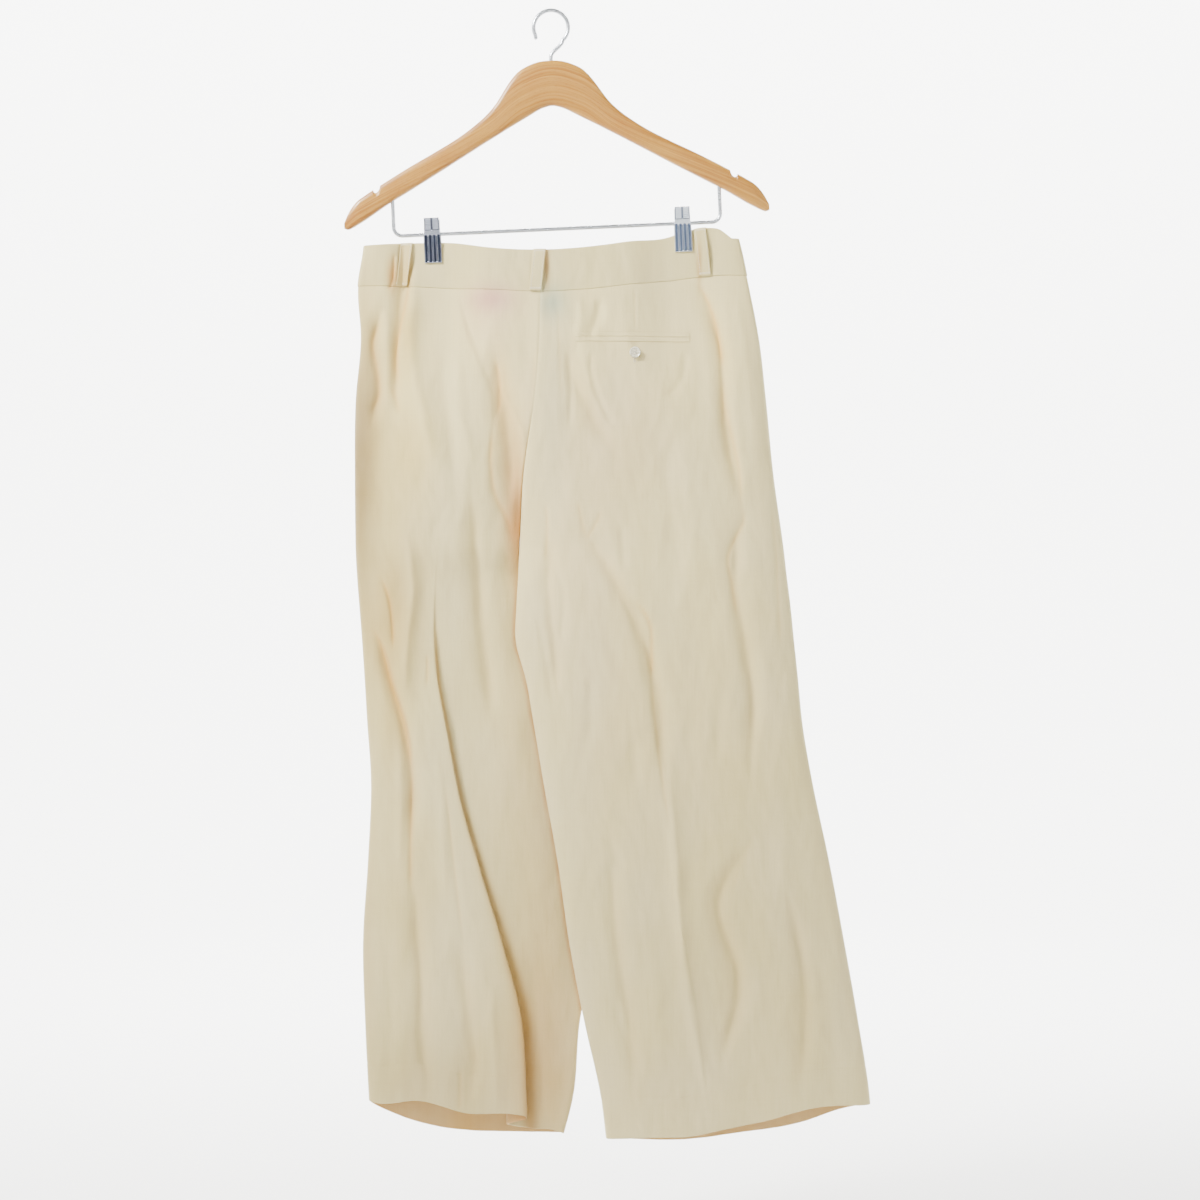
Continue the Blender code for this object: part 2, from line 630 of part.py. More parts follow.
# ---- pieces of the garment ------------------------------------------------------
def panel_columns(side, face):
    """Shares of a panel's columns: closer together in the deep fold."""
    if (side, face) != ("left", "back"):
        return np.linspace(0, 1, PLAIN_COLUMNS[side, face] + 1)
    low = PLEAT_CENTRE - PLEAT_SPAN
    high = PLEAT_CENTRE + PLEAT_SPAN
    under = np.linspace(0, low, LEFT_BACK_UNDER + 1)[:-1]
    fold = PLEAT_CENTRE + PLEAT_SPAN * np.array(PLEAT_STOPS)
    outer = np.linspace(high, 1, LEFT_BACK_OUTER + 1)[1:]
    return np.concatenate([under, fold, outer])


def add_panel(side, face):
    """One of the four leg panels, with a thicker wall where the hem is turned up."""
    us = panel_columns(side, face)
    vs = np.linspace(0, 1, ROWS + 1)
    u, v = np.meshgrid(us, vs)
    to_hem = hem_of(side, face, u) - level_of(side, face, u, v)
    wall = CLOTH + (HEM_CLOTH - CLOTH) * ease(HEM_DEPTH + HEM_STEP, HEM_DEPTH, to_hem)

    def surface(s, t):
        return panel(side, face, s, t)

    add_sheet(f"{side}_leg_{face}", surface, us, vs, sign_of(side, face), 0, wall, "linen")


def add_band(name, face, low, high, columns):
    """A length of the waistband, between two across values."""
    def surface(across, t):
        return band(face, across, t)

    sign = -1 if face == "back" else 1
    us = np.linspace(low, high, columns + 1)
    add_sheet(name, surface, us, np.linspace(0, 1, 4), sign, BAND_LIFT, BAND_CLOTH, "linen_band")


def across_at(face, x, t):
    """The waistband's across value at a place x and a share t down it."""
    acrosses = np.linspace(-1, 1, SAMPLES + 1)
    places = band(face, acrosses, np.full(SAMPLES + 1, float(t)))[:, 0]
    order = np.argsort(places)
    return np.interp(x, places[order], acrosses[order])


def add_loop(loop):
    """A belt loop: a strip sewn to the waistband's top edge and its seam, which
    stands off the band between them."""
    half = LOOP_WIDTH / 2

    def surface(u, t):
        centre = loop.top_x + (loop.bottom_x - loop.top_x) * t
        sewn = LOOP_FROM + (LOOP_TO - LOOP_FROM) * t
        across = [across_at(loop.face, c + w * half, b) for c, w, b in zip(centre, u, sewn)]
        points = band(loop.face, across, sewn)
        bow = LOOP_RISE * np.sin(math.pi * t) ** LOOP_BOW
        points[:, 1] += (-1 if loop.face == "back" else 1) * bow
        return points

    sign = -1 if loop.face == "back" else 1
    lift = BAND_LIFT + LOOP_CLEAR + LOOP_CLOTH
    us = np.linspace(-1, 1, 3)
    vs = np.array([0, 0.08, 0.2, 0.4, 0.6, 0.8, 0.92, 1])
    add_sheet(loop.name, surface, us, vs, sign, lift, LOOP_CLOTH, "linen_band")


def panel_patch(side, face, x, down):
    """Points of a panel's outer face at given x and down."""
    shares = np.linspace(0, 1, SAMPLES + 1)
    points = np.zeros((len(x), 3))
    for i, (px, pd) in enumerate(zip(x, down)):
        line = spread(side, face, shares, np.full(SAMPLES + 1, float(pd)))
        order = np.argsort(line[:, 0])
        s = np.interp(px, line[order, 0], shares[order])
        points[i] = spread(side, face, np.array([s]), np.array([float(pd)]))[0]
    return points


def patch_surface(side, face, left, right, top, bottom):
    """A rectangle of a panel, as a surface of its two shares."""
    def surface(u, v):
        return panel_patch(side, face, left + (right - left) * u, top + (bottom - top) * v)

    return surface


def add_welts():
    """The two narrow lips of the back pocket, one under the other."""
    us = np.linspace(0, 1, 19)
    vs = np.linspace(0, 1, 2)
    lift = PATCH_CLEAR + WELT_CLOTH
    top = WELT_TOP
    for name in ("back_pocket_upper_welt", "back_pocket_lower_welt"):
        surface = patch_surface("right", "back", WELT_LEFT, WELT_RIGHT, top, top + WELT_HEIGHT)
        add_sheet(name, surface, us, vs, -1, lift, WELT_CLOTH, "linen")
        top += WELT_HEIGHT + GAP


def add_fly():
    """The fly's flap: its lower corner is cut round towards the centre seam."""

    def surface(u, v):
        down = FLY_TOP + (FLY_BOTTOM - FLY_TOP) * v
        curved = np.clip((v - FLY_ROUND_FROM) / (1 - FLY_ROUND_FROM), 0, 1)
        x = FLY_LEFT + FLY_WIDTH * (FLY_TOE + (1 - FLY_TOE) * np.sqrt(1 - curved ** 2)) * u
        points = np.zeros((len(u), 3))
        centre = column(LEVELS, "down", "right_inner", down)
        right = x >= centre + FLY_OVER_CENTRE
        points[right] = panel_patch("right", "front", x[right], down[right])
        points[~right] = panel_patch("left", "front", x[~right], down[~right])
        points[:, 0] = x
        return points

    us = np.linspace(0, 1, 8)
    vs = np.array([0, 0.12, 0.25, 0.38, 0.5, 0.62, 0.74, 0.83, 0.9, 0.95, 0.98, 0.995])
    add_sheet("fly_flap", surface, us, vs, 1, PATCH_CLEAR + FLY_CLOTH, FLY_CLOTH, "linen")


def add_tab():
    """The waistband's end, buttoned over the centre of the front."""
    low = across_at("front", TAB_LEFT, 0.5)
    high = across_at("front", TAB_RIGHT, 0.5)

    def surface(u, t):
        return band("front", low + (high - low) * u, TAB_IN + (1 - 2 * TAB_IN) * t)

    us = np.linspace(0, 1, 6)
    vs = np.linspace(0, 1, 4)
    lift = BAND_LIFT + PATCH_CLEAR + TAB_CLOTH
    add_sheet("waistband_tab", surface, us, vs, 1, lift, TAB_CLOTH, "linen_band")


def add_button(name, place, facing):
    """A turned button with a raised rim, its back on the given place."""
    profile = [
        (0, 0),
        (BUTTON_FOOT, 0),
        (BUTTON_RADIUS, BUTTON_GIRTH),
        (BUTTON_RADIUS - BUTTON_CORNER, BUTTON_THICK - 0.6 * BUTTON_CORNER),
        (BUTTON_RADIUS - 2 * BUTTON_CORNER, BUTTON_THICK),
        (BUTTON_RADIUS - BUTTON_RIM, BUTTON_THICK - 0.6 * BUTTON_CORNER),
        (BUTTON_RADIUS - BUTTON_RIM - BUTTON_DISH, BUTTON_THICK - BUTTON_DISH),
        (0, BUTTON_THICK - BUTTON_DISH),
    ]
    turns = BUTTON_TURNS
    px, py, pz = place
    points = [(px, py + facing * profile[0][1], pz)]
    for radius, rise in profile[1:-1]:
        for k in range(turns):
            a = 2 * math.pi * k / turns
            points.append((px + radius * math.cos(a), py + facing * rise, pz + radius * math.sin(a)))
    points.append((px, py + facing * profile[-1][1], pz))
    faces = []
    rings = len(profile) - 2
    for k in range(turns):
        n = (k + 1) % turns
        faces.append((0, 1 + n, 1 + k))
        for ring in range(rings - 1):
            a = 1 + ring * turns
            faces.append((a + k, a + n, a + turns + n, a + turns + k))
        last = 1 + (rings - 1) * turns
        faces.append((last + k, last + n, len(points) - 1))
    add_object(name, points, faces, "button")


# ---- pieces of the hanger ---------------------------------------------------------
def hung(u, depth, v):
    """A point in the hanger's own tilted axes, as x, depth and height."""
    x = HANGER_X + u * math.cos(TILT) - v * math.sin(TILT)
    z = -HANGER_DOWN + u * math.sin(TILT) + v * math.cos(TILT)
    return (x, depth, z)


def add_wood():
    """The wooden arms: rounded rectangles along the outline."""
    half = WOOD_DEPTH / 2
    stations = [ArmPoint(-p.u, p.top, p.bottom) for p in reversed(ARM[1:])] + ARM
    rings = []
    for p in stations:
        taper = 1 - TIP_TAPER * ease(TIP_FROM, TIP_TO, abs(p.u))
        r = min(WOOD_ROUND, (p.top - p.bottom) * TIP_ROUND)
        h = half * taper
        ring = []
        for depth_sign, height_sign in ((-1, 1), (1, 1), (1, -1), (-1, -1)):
            steps = WOOD_STEPS if depth_sign * height_sign < 0 else WOOD_STEPS[::-1]
            edge = p.top if height_sign > 0 else p.bottom
            for a, b in steps:
                ring.append(hung(p.u, depth_sign * (h - r * a), edge - height_sign * r * b))
        rings.append(ring)
    sides = len(rings[0])
    points = [q for ring in rings for q in ring]
    faces = []
    for i in range(len(rings) - 1):
        for j in range(sides):
            n = (j + 1) % sides
            a = i * sides
            faces.append((a + j, a + n, a + sides + n, a + sides + j))
    faces.append(tuple(range(sides)))
    faces.append(tuple(range((len(rings) - 1) * sides, len(rings) * sides)))
    wood = add_object("wooden_hanger", points, faces, "varnished_wood")
    for u in (-BAR_U, BAR_U):
        drill(wood, hung(u, 0, 0), hung(u, 0, wood_bottom(u) + BAR_INTO_WOOD + GAP), BAR_HOLE)
    drill(wood, (0, 0, -HOOK_STEM_DOWN), (0, 0, -HOOK_FOOT_DOWN - GAP), HOOK_RADIUS + GAP)


def wood_bottom(u):
    """Height of the wood's lower edge."""
    return column(ARM, "u", "bottom", abs(u))


def drill(target, start, end, radius):
    """Cut a round hole from start to end."""
    a = Vector(start) * MM
    b = Vector(end) * MM
    length = (b - a).length
    bpy.ops.mesh.primitive_cylinder_add(vertices=HOLE_SIDES, radius=radius * MM, depth=length)
    cutter = bpy.context.object
    cutter.location = (a + b) / 2
    cutter.name = "hole_cutter"
    cutter.rotation_euler = (b - a).to_track_quat("Z", "Y").to_euler()
    cutter.hide_render = True
    cutter.display_type = "WIRE"
    cut = target.modifiers.new("hole", "BOOLEAN")
    cut.operation = "DIFFERENCE"
    cut.object = cutter


def add_rod(name, route, radius, finish, sides, ball=False):
    """A round rod along points in millimetres, with flat or rounded ends."""
    points = [Vector(p) for p in route]
    rings = []
    side_axis = Vector((0, 1, 0))
    for i, p in enumerate(points):
        before = points[max(i - 1, 0)]
        after = points[min(i + 1, len(points) - 1)]
        ahead = (after - before).normalized()
        up = side_axis.cross(ahead).normalized()
        grow = 1.0
        if ball and i == len(points) - 1:
            grow = 0.55
        if ball and i == len(points) - 2:
            grow = 0.9
        ring = []
        for k in range(sides):
            a = 2 * math.pi * k / sides
            ring.append(p + (side_axis * math.cos(a) + up * math.sin(a)) * radius * grow)
        rings.append(ring)
    flat = [q for ring in rings for q in ring]
    faces = []
    for i in range(len(rings) - 1):
        for j in range(sides):
            n = (j + 1) % sides
            a = i * sides
            faces.append((a + j, a + n, a + sides + n, a + sides + j))
    faces.append(tuple(range(sides)))
    faces.append(tuple(range((len(rings) - 1) * sides, len(rings) * sides)))
    return add_object(name, flat, faces, finish)


def bend(centre, radius, start, end, steps):
    """Points round a bend in the plane of the hanger, angles in degrees."""
    found = []
    for k in range(steps + 1):
        a = math.radians(start + (end - start) * k / steps)
        found.append((centre[0] + radius * math.cos(a), centre[1] + radius * math.sin(a)))
    return found


def add_hook():
    """The hook: a straight foot in the wood, a bend to the right and then a
    round crook that ends in a rounded tip."""
    crook = HOOK_INSIDE + HOOK_RADIUS
    centre_z = -HOOK_INSIDE
    join_x, join_z = bend((0, centre_z), crook, HOOK_START_ANGLE, HOOK_START_ANGLE, 1)[0]
    route = [(0, -HOOK_FOOT_DOWN), (0, -HOOK_STEM_DOWN)]
    for p in np.linspace(0, 1, STEM_STEPS)[1:-1]:
        eased = p * p * (3 - 2 * p)
        route.append((join_x * eased, -HOOK_STEM_DOWN + (join_z + HOOK_STEM_DOWN) * p))
    route += bend((0, centre_z), crook, HOOK_START_ANGLE, HOOK_END_ANGLE, HOOK_STEPS)
    last_x, last_z = route[-1]
    for p in (0.75, 1):
        route.append((last_x + HOOK_TIP_LEAN * p, last_z - HOOK_TIP_LENGTH * p))
    add_rod("hanger_hook", [(x, 0, z) for x, z in route], HOOK_RADIUS, "bright_wire", ROD_SIDES, True)


def add_bar():
    """The trouser bar: bent wire with both ends in the wood."""
    top = wood_bottom(BAR_U) + BAR_INTO_WOOD
    left = bend((-BAR_U + BAR_CORNER, BAR_V + BAR_CORNER), BAR_CORNER, 180, 270, BAR_STEPS)
    right = bend((BAR_U - BAR_CORNER, BAR_V + BAR_CORNER), BAR_CORNER, 270, 360, BAR_STEPS)
    route = [(-BAR_U, top)] + left + right + [(BAR_U, top)]
    add_rod("trouser_bar", [hung(u, 0, v) for u, v in route], WIRE_RADIUS, "bright_wire", ROD_SIDES)


def add_clip(name, u):
    """A clip: two ribbed plates with the bar and the waistband between them,
    and a sprung sleeve round the bar."""
    for place, facing in (("near", -1), ("far", 1)):
        outer = []
        inner = []
        for p in CLIP:
            ribbed = ease(RIBS_END, RIBS_WHOLE, p.v)
            row_out = []
            row_in = []
            for k in range(CLIP_RIBS * 2 + 1):
                w = (k / (CLIP_RIBS * 2) - 0.5) * p.width
                rib = CLIP_RIB * (k % 2) * ribbed
                row_out.append(hung(u + w, facing * (p.inside + CLIP_PLATE + rib), p.v))
                row_in.append(hung(u + w, facing * p.inside, p.v))
            outer.append(row_out)
            inner.append(row_in)
        add_wall(f"{name}_{place}_plate", np.array(outer), np.array(inner), "chromed_steel")
    sides = SPRING_SIDES
    points = []
    for end in (-SPRING_LENGTH / 2, SPRING_LENGTH / 2):
        for radius in (SPRING_INSIDE, SPRING_OUTSIDE):
            for k in range(sides):
                a = 2 * math.pi * k / sides
                points.append(hung(u + end, radius * math.cos(a), BAR_V + radius * math.sin(a)))
    faces = []
    for k in range(sides):
        n = (k + 1) % sides
        for a, b in ((0, sides), (sides, 3 * sides), (3 * sides, 2 * sides), (2 * sides, 0)):
            faces.append((a + k, a + n, b + n, b + k))
    add_object(f"{name}_spring", points, faces, "chromed_steel")


def build():
    """Clear the scene and make every piece."""
    for old in list(bpy.data.objects):
        bpy.data.objects.remove(old, do_unlink=True)
    for side in ("left", "right"):
        for face in ("back", "front"):
            add_panel(side, face)
    add_band("waistband_back", "back", -BAND_END, BAND_END, 2 * BAND_COLUMNS)
    add_band("waistband_front_left", "front", -BAND_END, -BAND_CENTRE, BAND_COLUMNS)
    add_band("waistband_front_right", "front", BAND_CENTRE, BAND_END, BAND_COLUMNS)
    for loop in LOOPS:
        add_loop(loop)
    add_welts()
    add_fly()
    add_tab()
    pocket = panel_patch("right", "back", [POCKET_BUTTON_X], [POCKET_BUTTON_DOWN])[0]
    add_button("pocket_button", pocket - np.array([0, BUTTON_STAND, 0]), -1)
    waist = band("front", [across_at("front", WAIST_BUTTON_X, 0.5)], np.array([0.5]))[0]
    over_tab = BAND_LIFT + PATCH_CLEAR + TAB_CLOTH + BUTTON_STAND
    add_button("waist_button", waist + np.array([0, over_tab, 0]), 1)
    add_wood()
    add_hook()
    add_bar()
    add_clip("left_clip", -CLIP_U)
    add_clip("right_clip", CLIP_U)


build()
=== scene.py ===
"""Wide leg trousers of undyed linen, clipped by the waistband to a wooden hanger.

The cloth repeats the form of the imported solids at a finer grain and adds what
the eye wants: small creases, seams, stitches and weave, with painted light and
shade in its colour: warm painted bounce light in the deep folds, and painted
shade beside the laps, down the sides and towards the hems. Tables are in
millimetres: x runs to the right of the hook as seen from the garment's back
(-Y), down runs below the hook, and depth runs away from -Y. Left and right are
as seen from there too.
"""

import math
from collections import namedtuple
from functools import lru_cache

import bmesh
import bpy
import numpy as np
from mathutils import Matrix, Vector


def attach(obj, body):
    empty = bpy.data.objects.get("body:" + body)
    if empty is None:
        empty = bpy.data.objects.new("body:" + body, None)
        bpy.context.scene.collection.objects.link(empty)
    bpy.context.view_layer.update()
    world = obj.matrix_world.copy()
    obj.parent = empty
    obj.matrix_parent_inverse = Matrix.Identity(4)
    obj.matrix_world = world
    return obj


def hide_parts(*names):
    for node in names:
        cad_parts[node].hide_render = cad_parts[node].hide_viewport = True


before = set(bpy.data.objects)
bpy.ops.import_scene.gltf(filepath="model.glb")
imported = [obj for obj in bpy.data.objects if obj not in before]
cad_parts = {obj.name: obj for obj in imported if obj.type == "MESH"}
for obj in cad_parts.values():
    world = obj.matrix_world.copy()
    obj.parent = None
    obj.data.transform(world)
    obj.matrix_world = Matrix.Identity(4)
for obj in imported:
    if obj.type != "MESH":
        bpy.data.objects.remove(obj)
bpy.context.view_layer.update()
MM = 0.001

# ---- cloth: the same driving sizes as the solids -------------------------------------
GAP = 0.05               # between pieces sewn to each other
CLOTH = 1.2
HEM_CLOTH = 2.0
HEM_DEPTH = 40.0
BAND_CLOTH = 2.2
BAND_LIFT = 0.5
CROTCH_DOWN = 560.0
BODY_DOWN = 400.0
EDGE_ROUND = 2.8
FLAT_HALF = 2.35
SIDE_SHARPNESS = 2.4
TRUNK_SHARPNESS = 3.0
SEAM_FADE = 14.0
CROTCH_SHARE = 0.36      # share down a panel at which its crotch comes
WAIST_MIDDLE_DOWN = 285.0
SECTION_STEPS = 96
SHARES = (1 - np.cos(np.linspace(0, math.pi, SECTION_STEPS + 1))) / 2
SAMPLES = 160
TRUNK_BLEND = 0.8        # how fast the trunk parts into two legs
GRIP_BELOW = 25          # the clips' grip, below the hanger's own middle
GRIP_BESIDE = (62, 11)   # beside a clip: where its grip starts, and where it is whole
GRIP_DOWN = (430, 272)   # the same, from below

INNER_SHARPNESS = {
    ("left", "back"): 1.4,
    ("right", "back"): 2.3,
    ("left", "front"): 2.3,
    ("right", "front"): 1.4,
}

Level = namedtuple(
    "Level",
    "down left_side right_side left_inner right_inner "
    "left_depth right_depth back_bulge front_bulge",
)
LEVELS = [
    Level(225, -195.5, 193.0, -10.5, -10.5, 0, 0, 8.5, 7.5),
    Level(243, -195.8, 198.0, -10.5, -10.5, 0, 0, 9.5, 8.5),
    Level(287, -202.0, 207.3, -11.0, -11.0, 0, 0, 13, 12),
    Level(342, -199.0, 217.8, -12.0, -12.0, 0, 0, 19, 17),
    Level(405, -204.2, 225.0, -17.0, -17.0, 0, 0, 24, 22),
    Level(489, -205.2, 233.5, -29.0, -29.0, 0, 0, 27, 25),
    Level(546, -204.7, 241.6, -32.2, -32.2, 0, 0, 25.3, 24.2),
    Level(560, -204.5, 243.5, -33.0, -33.0, 0, 0, 25, 24),
    Level(590, -203.0, 247.0, -30.5, -34.2, 8, -8, 23, 22),
    Level(622, -200.5, 251.0, -14.0, -36.0, 13, -12, 22, 21),
    Level(656, -197.9, 254.4, 10.0, -36.8, 16, -14, 21, 20),
    Level(700, -195.0, 259.0, 36.0, -25.5, 18, -16, 20, 19),
    Level(740, -192.6, 262.8, 52.0, -18.5, 18, -17, 20, 19),
    Level(803, -188.5, 273.3, 65.0, -8.0, 18, -18, 20, 19),
    Level(887, -191.6, 291.1, 64.0, 7.0, 17, -18, 20, 19),
    Level(971, -196.8, 306.8, 50.0, 19.0, 14, -15, 20, 19),
    Level(1054, -194.7, 321.4, 31.0, 34.5, 9, -9, 20, 19),
    Level(1138, -190.6, 334.0, 23.0, 52.5, 4, -4, 21, 20),
    Level(1184, -188.0, 336.5, 11.0, 58.0, 2, -2, 22, 21),
]

WaistPoint = namedtuple("WaistPoint", "x top seam")
WAIST = [
    WaistPoint(-202, 244.5, 287.5),
    WaistPoint(-143, 241.7, 288.1),
    WaistPoint(-109, 241.7, 289.6),
    WaistPoint(-69, 246.9, 291.2),
    WaistPoint(-4, 249.0, 293.3),
    WaistPoint(53, 244.8, 289.6),
    WaistPoint(86, 240.6, 285.5),
    WaistPoint(127, 236.5, 281.5),
    WaistPoint(149, 230.2, 278.7),
    WaistPoint(177, 225.8, 276.4),
    WaistPoint(190, 228.0, 276.2),
    WaistPoint(200, 237.0, 276.4),
]

# How far down each hem is, as shares across the panel and millimetres.
HEMS = {
    ("left", "back"): [
        (0.00, 1174.0), (0.16, 1168.0), (0.32, 1166.0), (0.45, 1158.0), (0.57, 1149.6),
        (0.71, 1147.5), (0.76, 1142.0), (0.82, 1136.5), (0.94, 1140.0), (1.00, 1138.0),
    ],
    ("left", "front"): [
        (0.00, 1174.0), (0.25, 1175.0), (0.50, 1173.5), (0.66, 1169.0), (0.80, 1160.0),
        (0.92, 1148.0), (1.00, 1138.0),
    ],
    ("right", "back"): [
        (0.00, 1178.0), (0.18, 1174.5), (0.34, 1172.0), (0.42, 1167.0), (0.60, 1156.0),
        (0.77, 1143.5), (1.00, 1142.0),
    ],
    ("right", "front"): [
        (0.00, 1178.0), (0.30, 1182.0), (0.52, 1175.0), (0.74, 1163.5), (0.87, 1150.0),
        (1.00, 1142.0),
    ],
}

Pleat = namedtuple("Pleat", "down x reach step")
PLEAT = [
    Pleat(240, -72, 0.0, 0.0),
    Pleat(400, -92, 0.0, 0.0),
    Pleat(560, -117, 0.0, 0.0),
    Pleat(644, -121, 0.4, 1.2),
    Pleat(695, -118, 2.0, 3.3),
    Pleat(755, -107, 5.0, 3.7),
    Pleat(823, -94, 7.5, 3.8),
    Pleat(897, -73, 9.5, 3.9),
    Pleat(977, -49, 11.0, 4.0),
    Pleat(1048, -31, 12.0, 4.0),
    Pleat(1140, -25, 13.5, 4.0),
    Pleat(1190, -23, 14.0, 4.0),
]
PLEAT_HALF = 8.0
PLEAT_TURN = 0.12
PLEAT_FADE = 45.0
PLEAT_CENTRE = 0.45
PLEAT_SPAN = 0.12

Fold = namedtuple("Fold", "width depth path")
# The main folds, as in the solids.
FOLDS = {
    ("left", "back"): [
        Fold(9, -4.5, ((-154, 225), (-156, 300), (-161, 355), (-158, 430))),
        Fold(15, 4.5, ((-140, 262), (-146, 349), (-137, 403), (-116, 490))),
        Fold(8, -3.5, ((-173, 300), (-184, 345), (-180, 400), (-190, 445))),
        Fold(14, -5.0, ((-62, 345), (-52, 395), (-44, 445), (-37, 520))),
        Fold(10, -3.0, ((-83, 480), (-77, 570), (-68, 660), (-58, 760))),
        Fold(9, 3.5, ((-150, 540), (-143, 600), (-149, 660), (-151, 720))),
        Fold(8, -4.5, ((-186, 640), (-165, 705), (-146, 790), (-146, 880))),
        Fold(10, -3.0, ((-146, 880), (-136, 985), (-131, 1090), (-122, 1150))),
        Fold(12, -3.5, ((-95, 960), (-88, 1030), (-80, 1100), (-84, 1150))),
    ],
    ("right", "back"): [
        Fold(9, -4.5, ((152, 280), (177, 350), (181, 420), (198, 520))),
        Fold(9, -3.0, ((198, 500), (193, 600), (210, 700), (208, 800))),
        Fold(11, -2.5, ((20, 330), (24, 380), (44, 425), (70, 470))),
        Fold(9, -3.5, ((14, 520), (66, 592), (104, 682), (121, 820))),
        Fold(8, 3.0, ((121, 760), (131, 890), (140, 1000), (165, 1150))),
        Fold(8, -2.5, ((2, 540), (-2, 600), (4, 660), (8, 730))),
        Fold(10, -3.5, ((210, 855), (175, 930), (196, 1010), (172, 1110))),
        Fold(10, -2.5, ((246, 910), (262, 990), (266, 1060), (258, 1130))),
        Fold(9, -2.5, ((62, 860), (68, 960), (84, 1070), (88, 1150))),
    ],
    ("left", "front"): [
        Fold(11, -4.0, ((-150, 250), (-146, 330), (-152, 410), (-140, 500))),
        Fold(12, 3.5, ((-95, 300), (-90, 420), (-84, 560), (-80, 700))),
        Fold(10, -4.0, ((-60, 560), (-70, 690), (-96, 830), (-110, 1000))),
        Fold(10, 3.5, ((-20, 700), (-34, 840), (-52, 980), (-58, 1150))),
        Fold(9, -3.0, ((-160, 620), (-152, 760), (-160, 900), (-150, 1060))),
    ],
    ("right", "front"): [
        Fold(12, 3.5, ((95, 300), (100, 430), (112, 580), (122, 740))),
        Fold(10, -4.0, ((30, 520), (60, 640), (90, 760), (112, 900))),
        Fold(9, -3.5, ((168, 290), (182, 400), (196, 540), (204, 700))),
        Fold(11, 3.0, ((150, 800), (172, 920), (196, 1040), (208, 1150))),
        Fold(9, -3.0, ((250, 820), (262, 930), (280, 1030), (282, 1150))),
    ],
}

Crease = namedtuple("Crease", "kind width depth path")
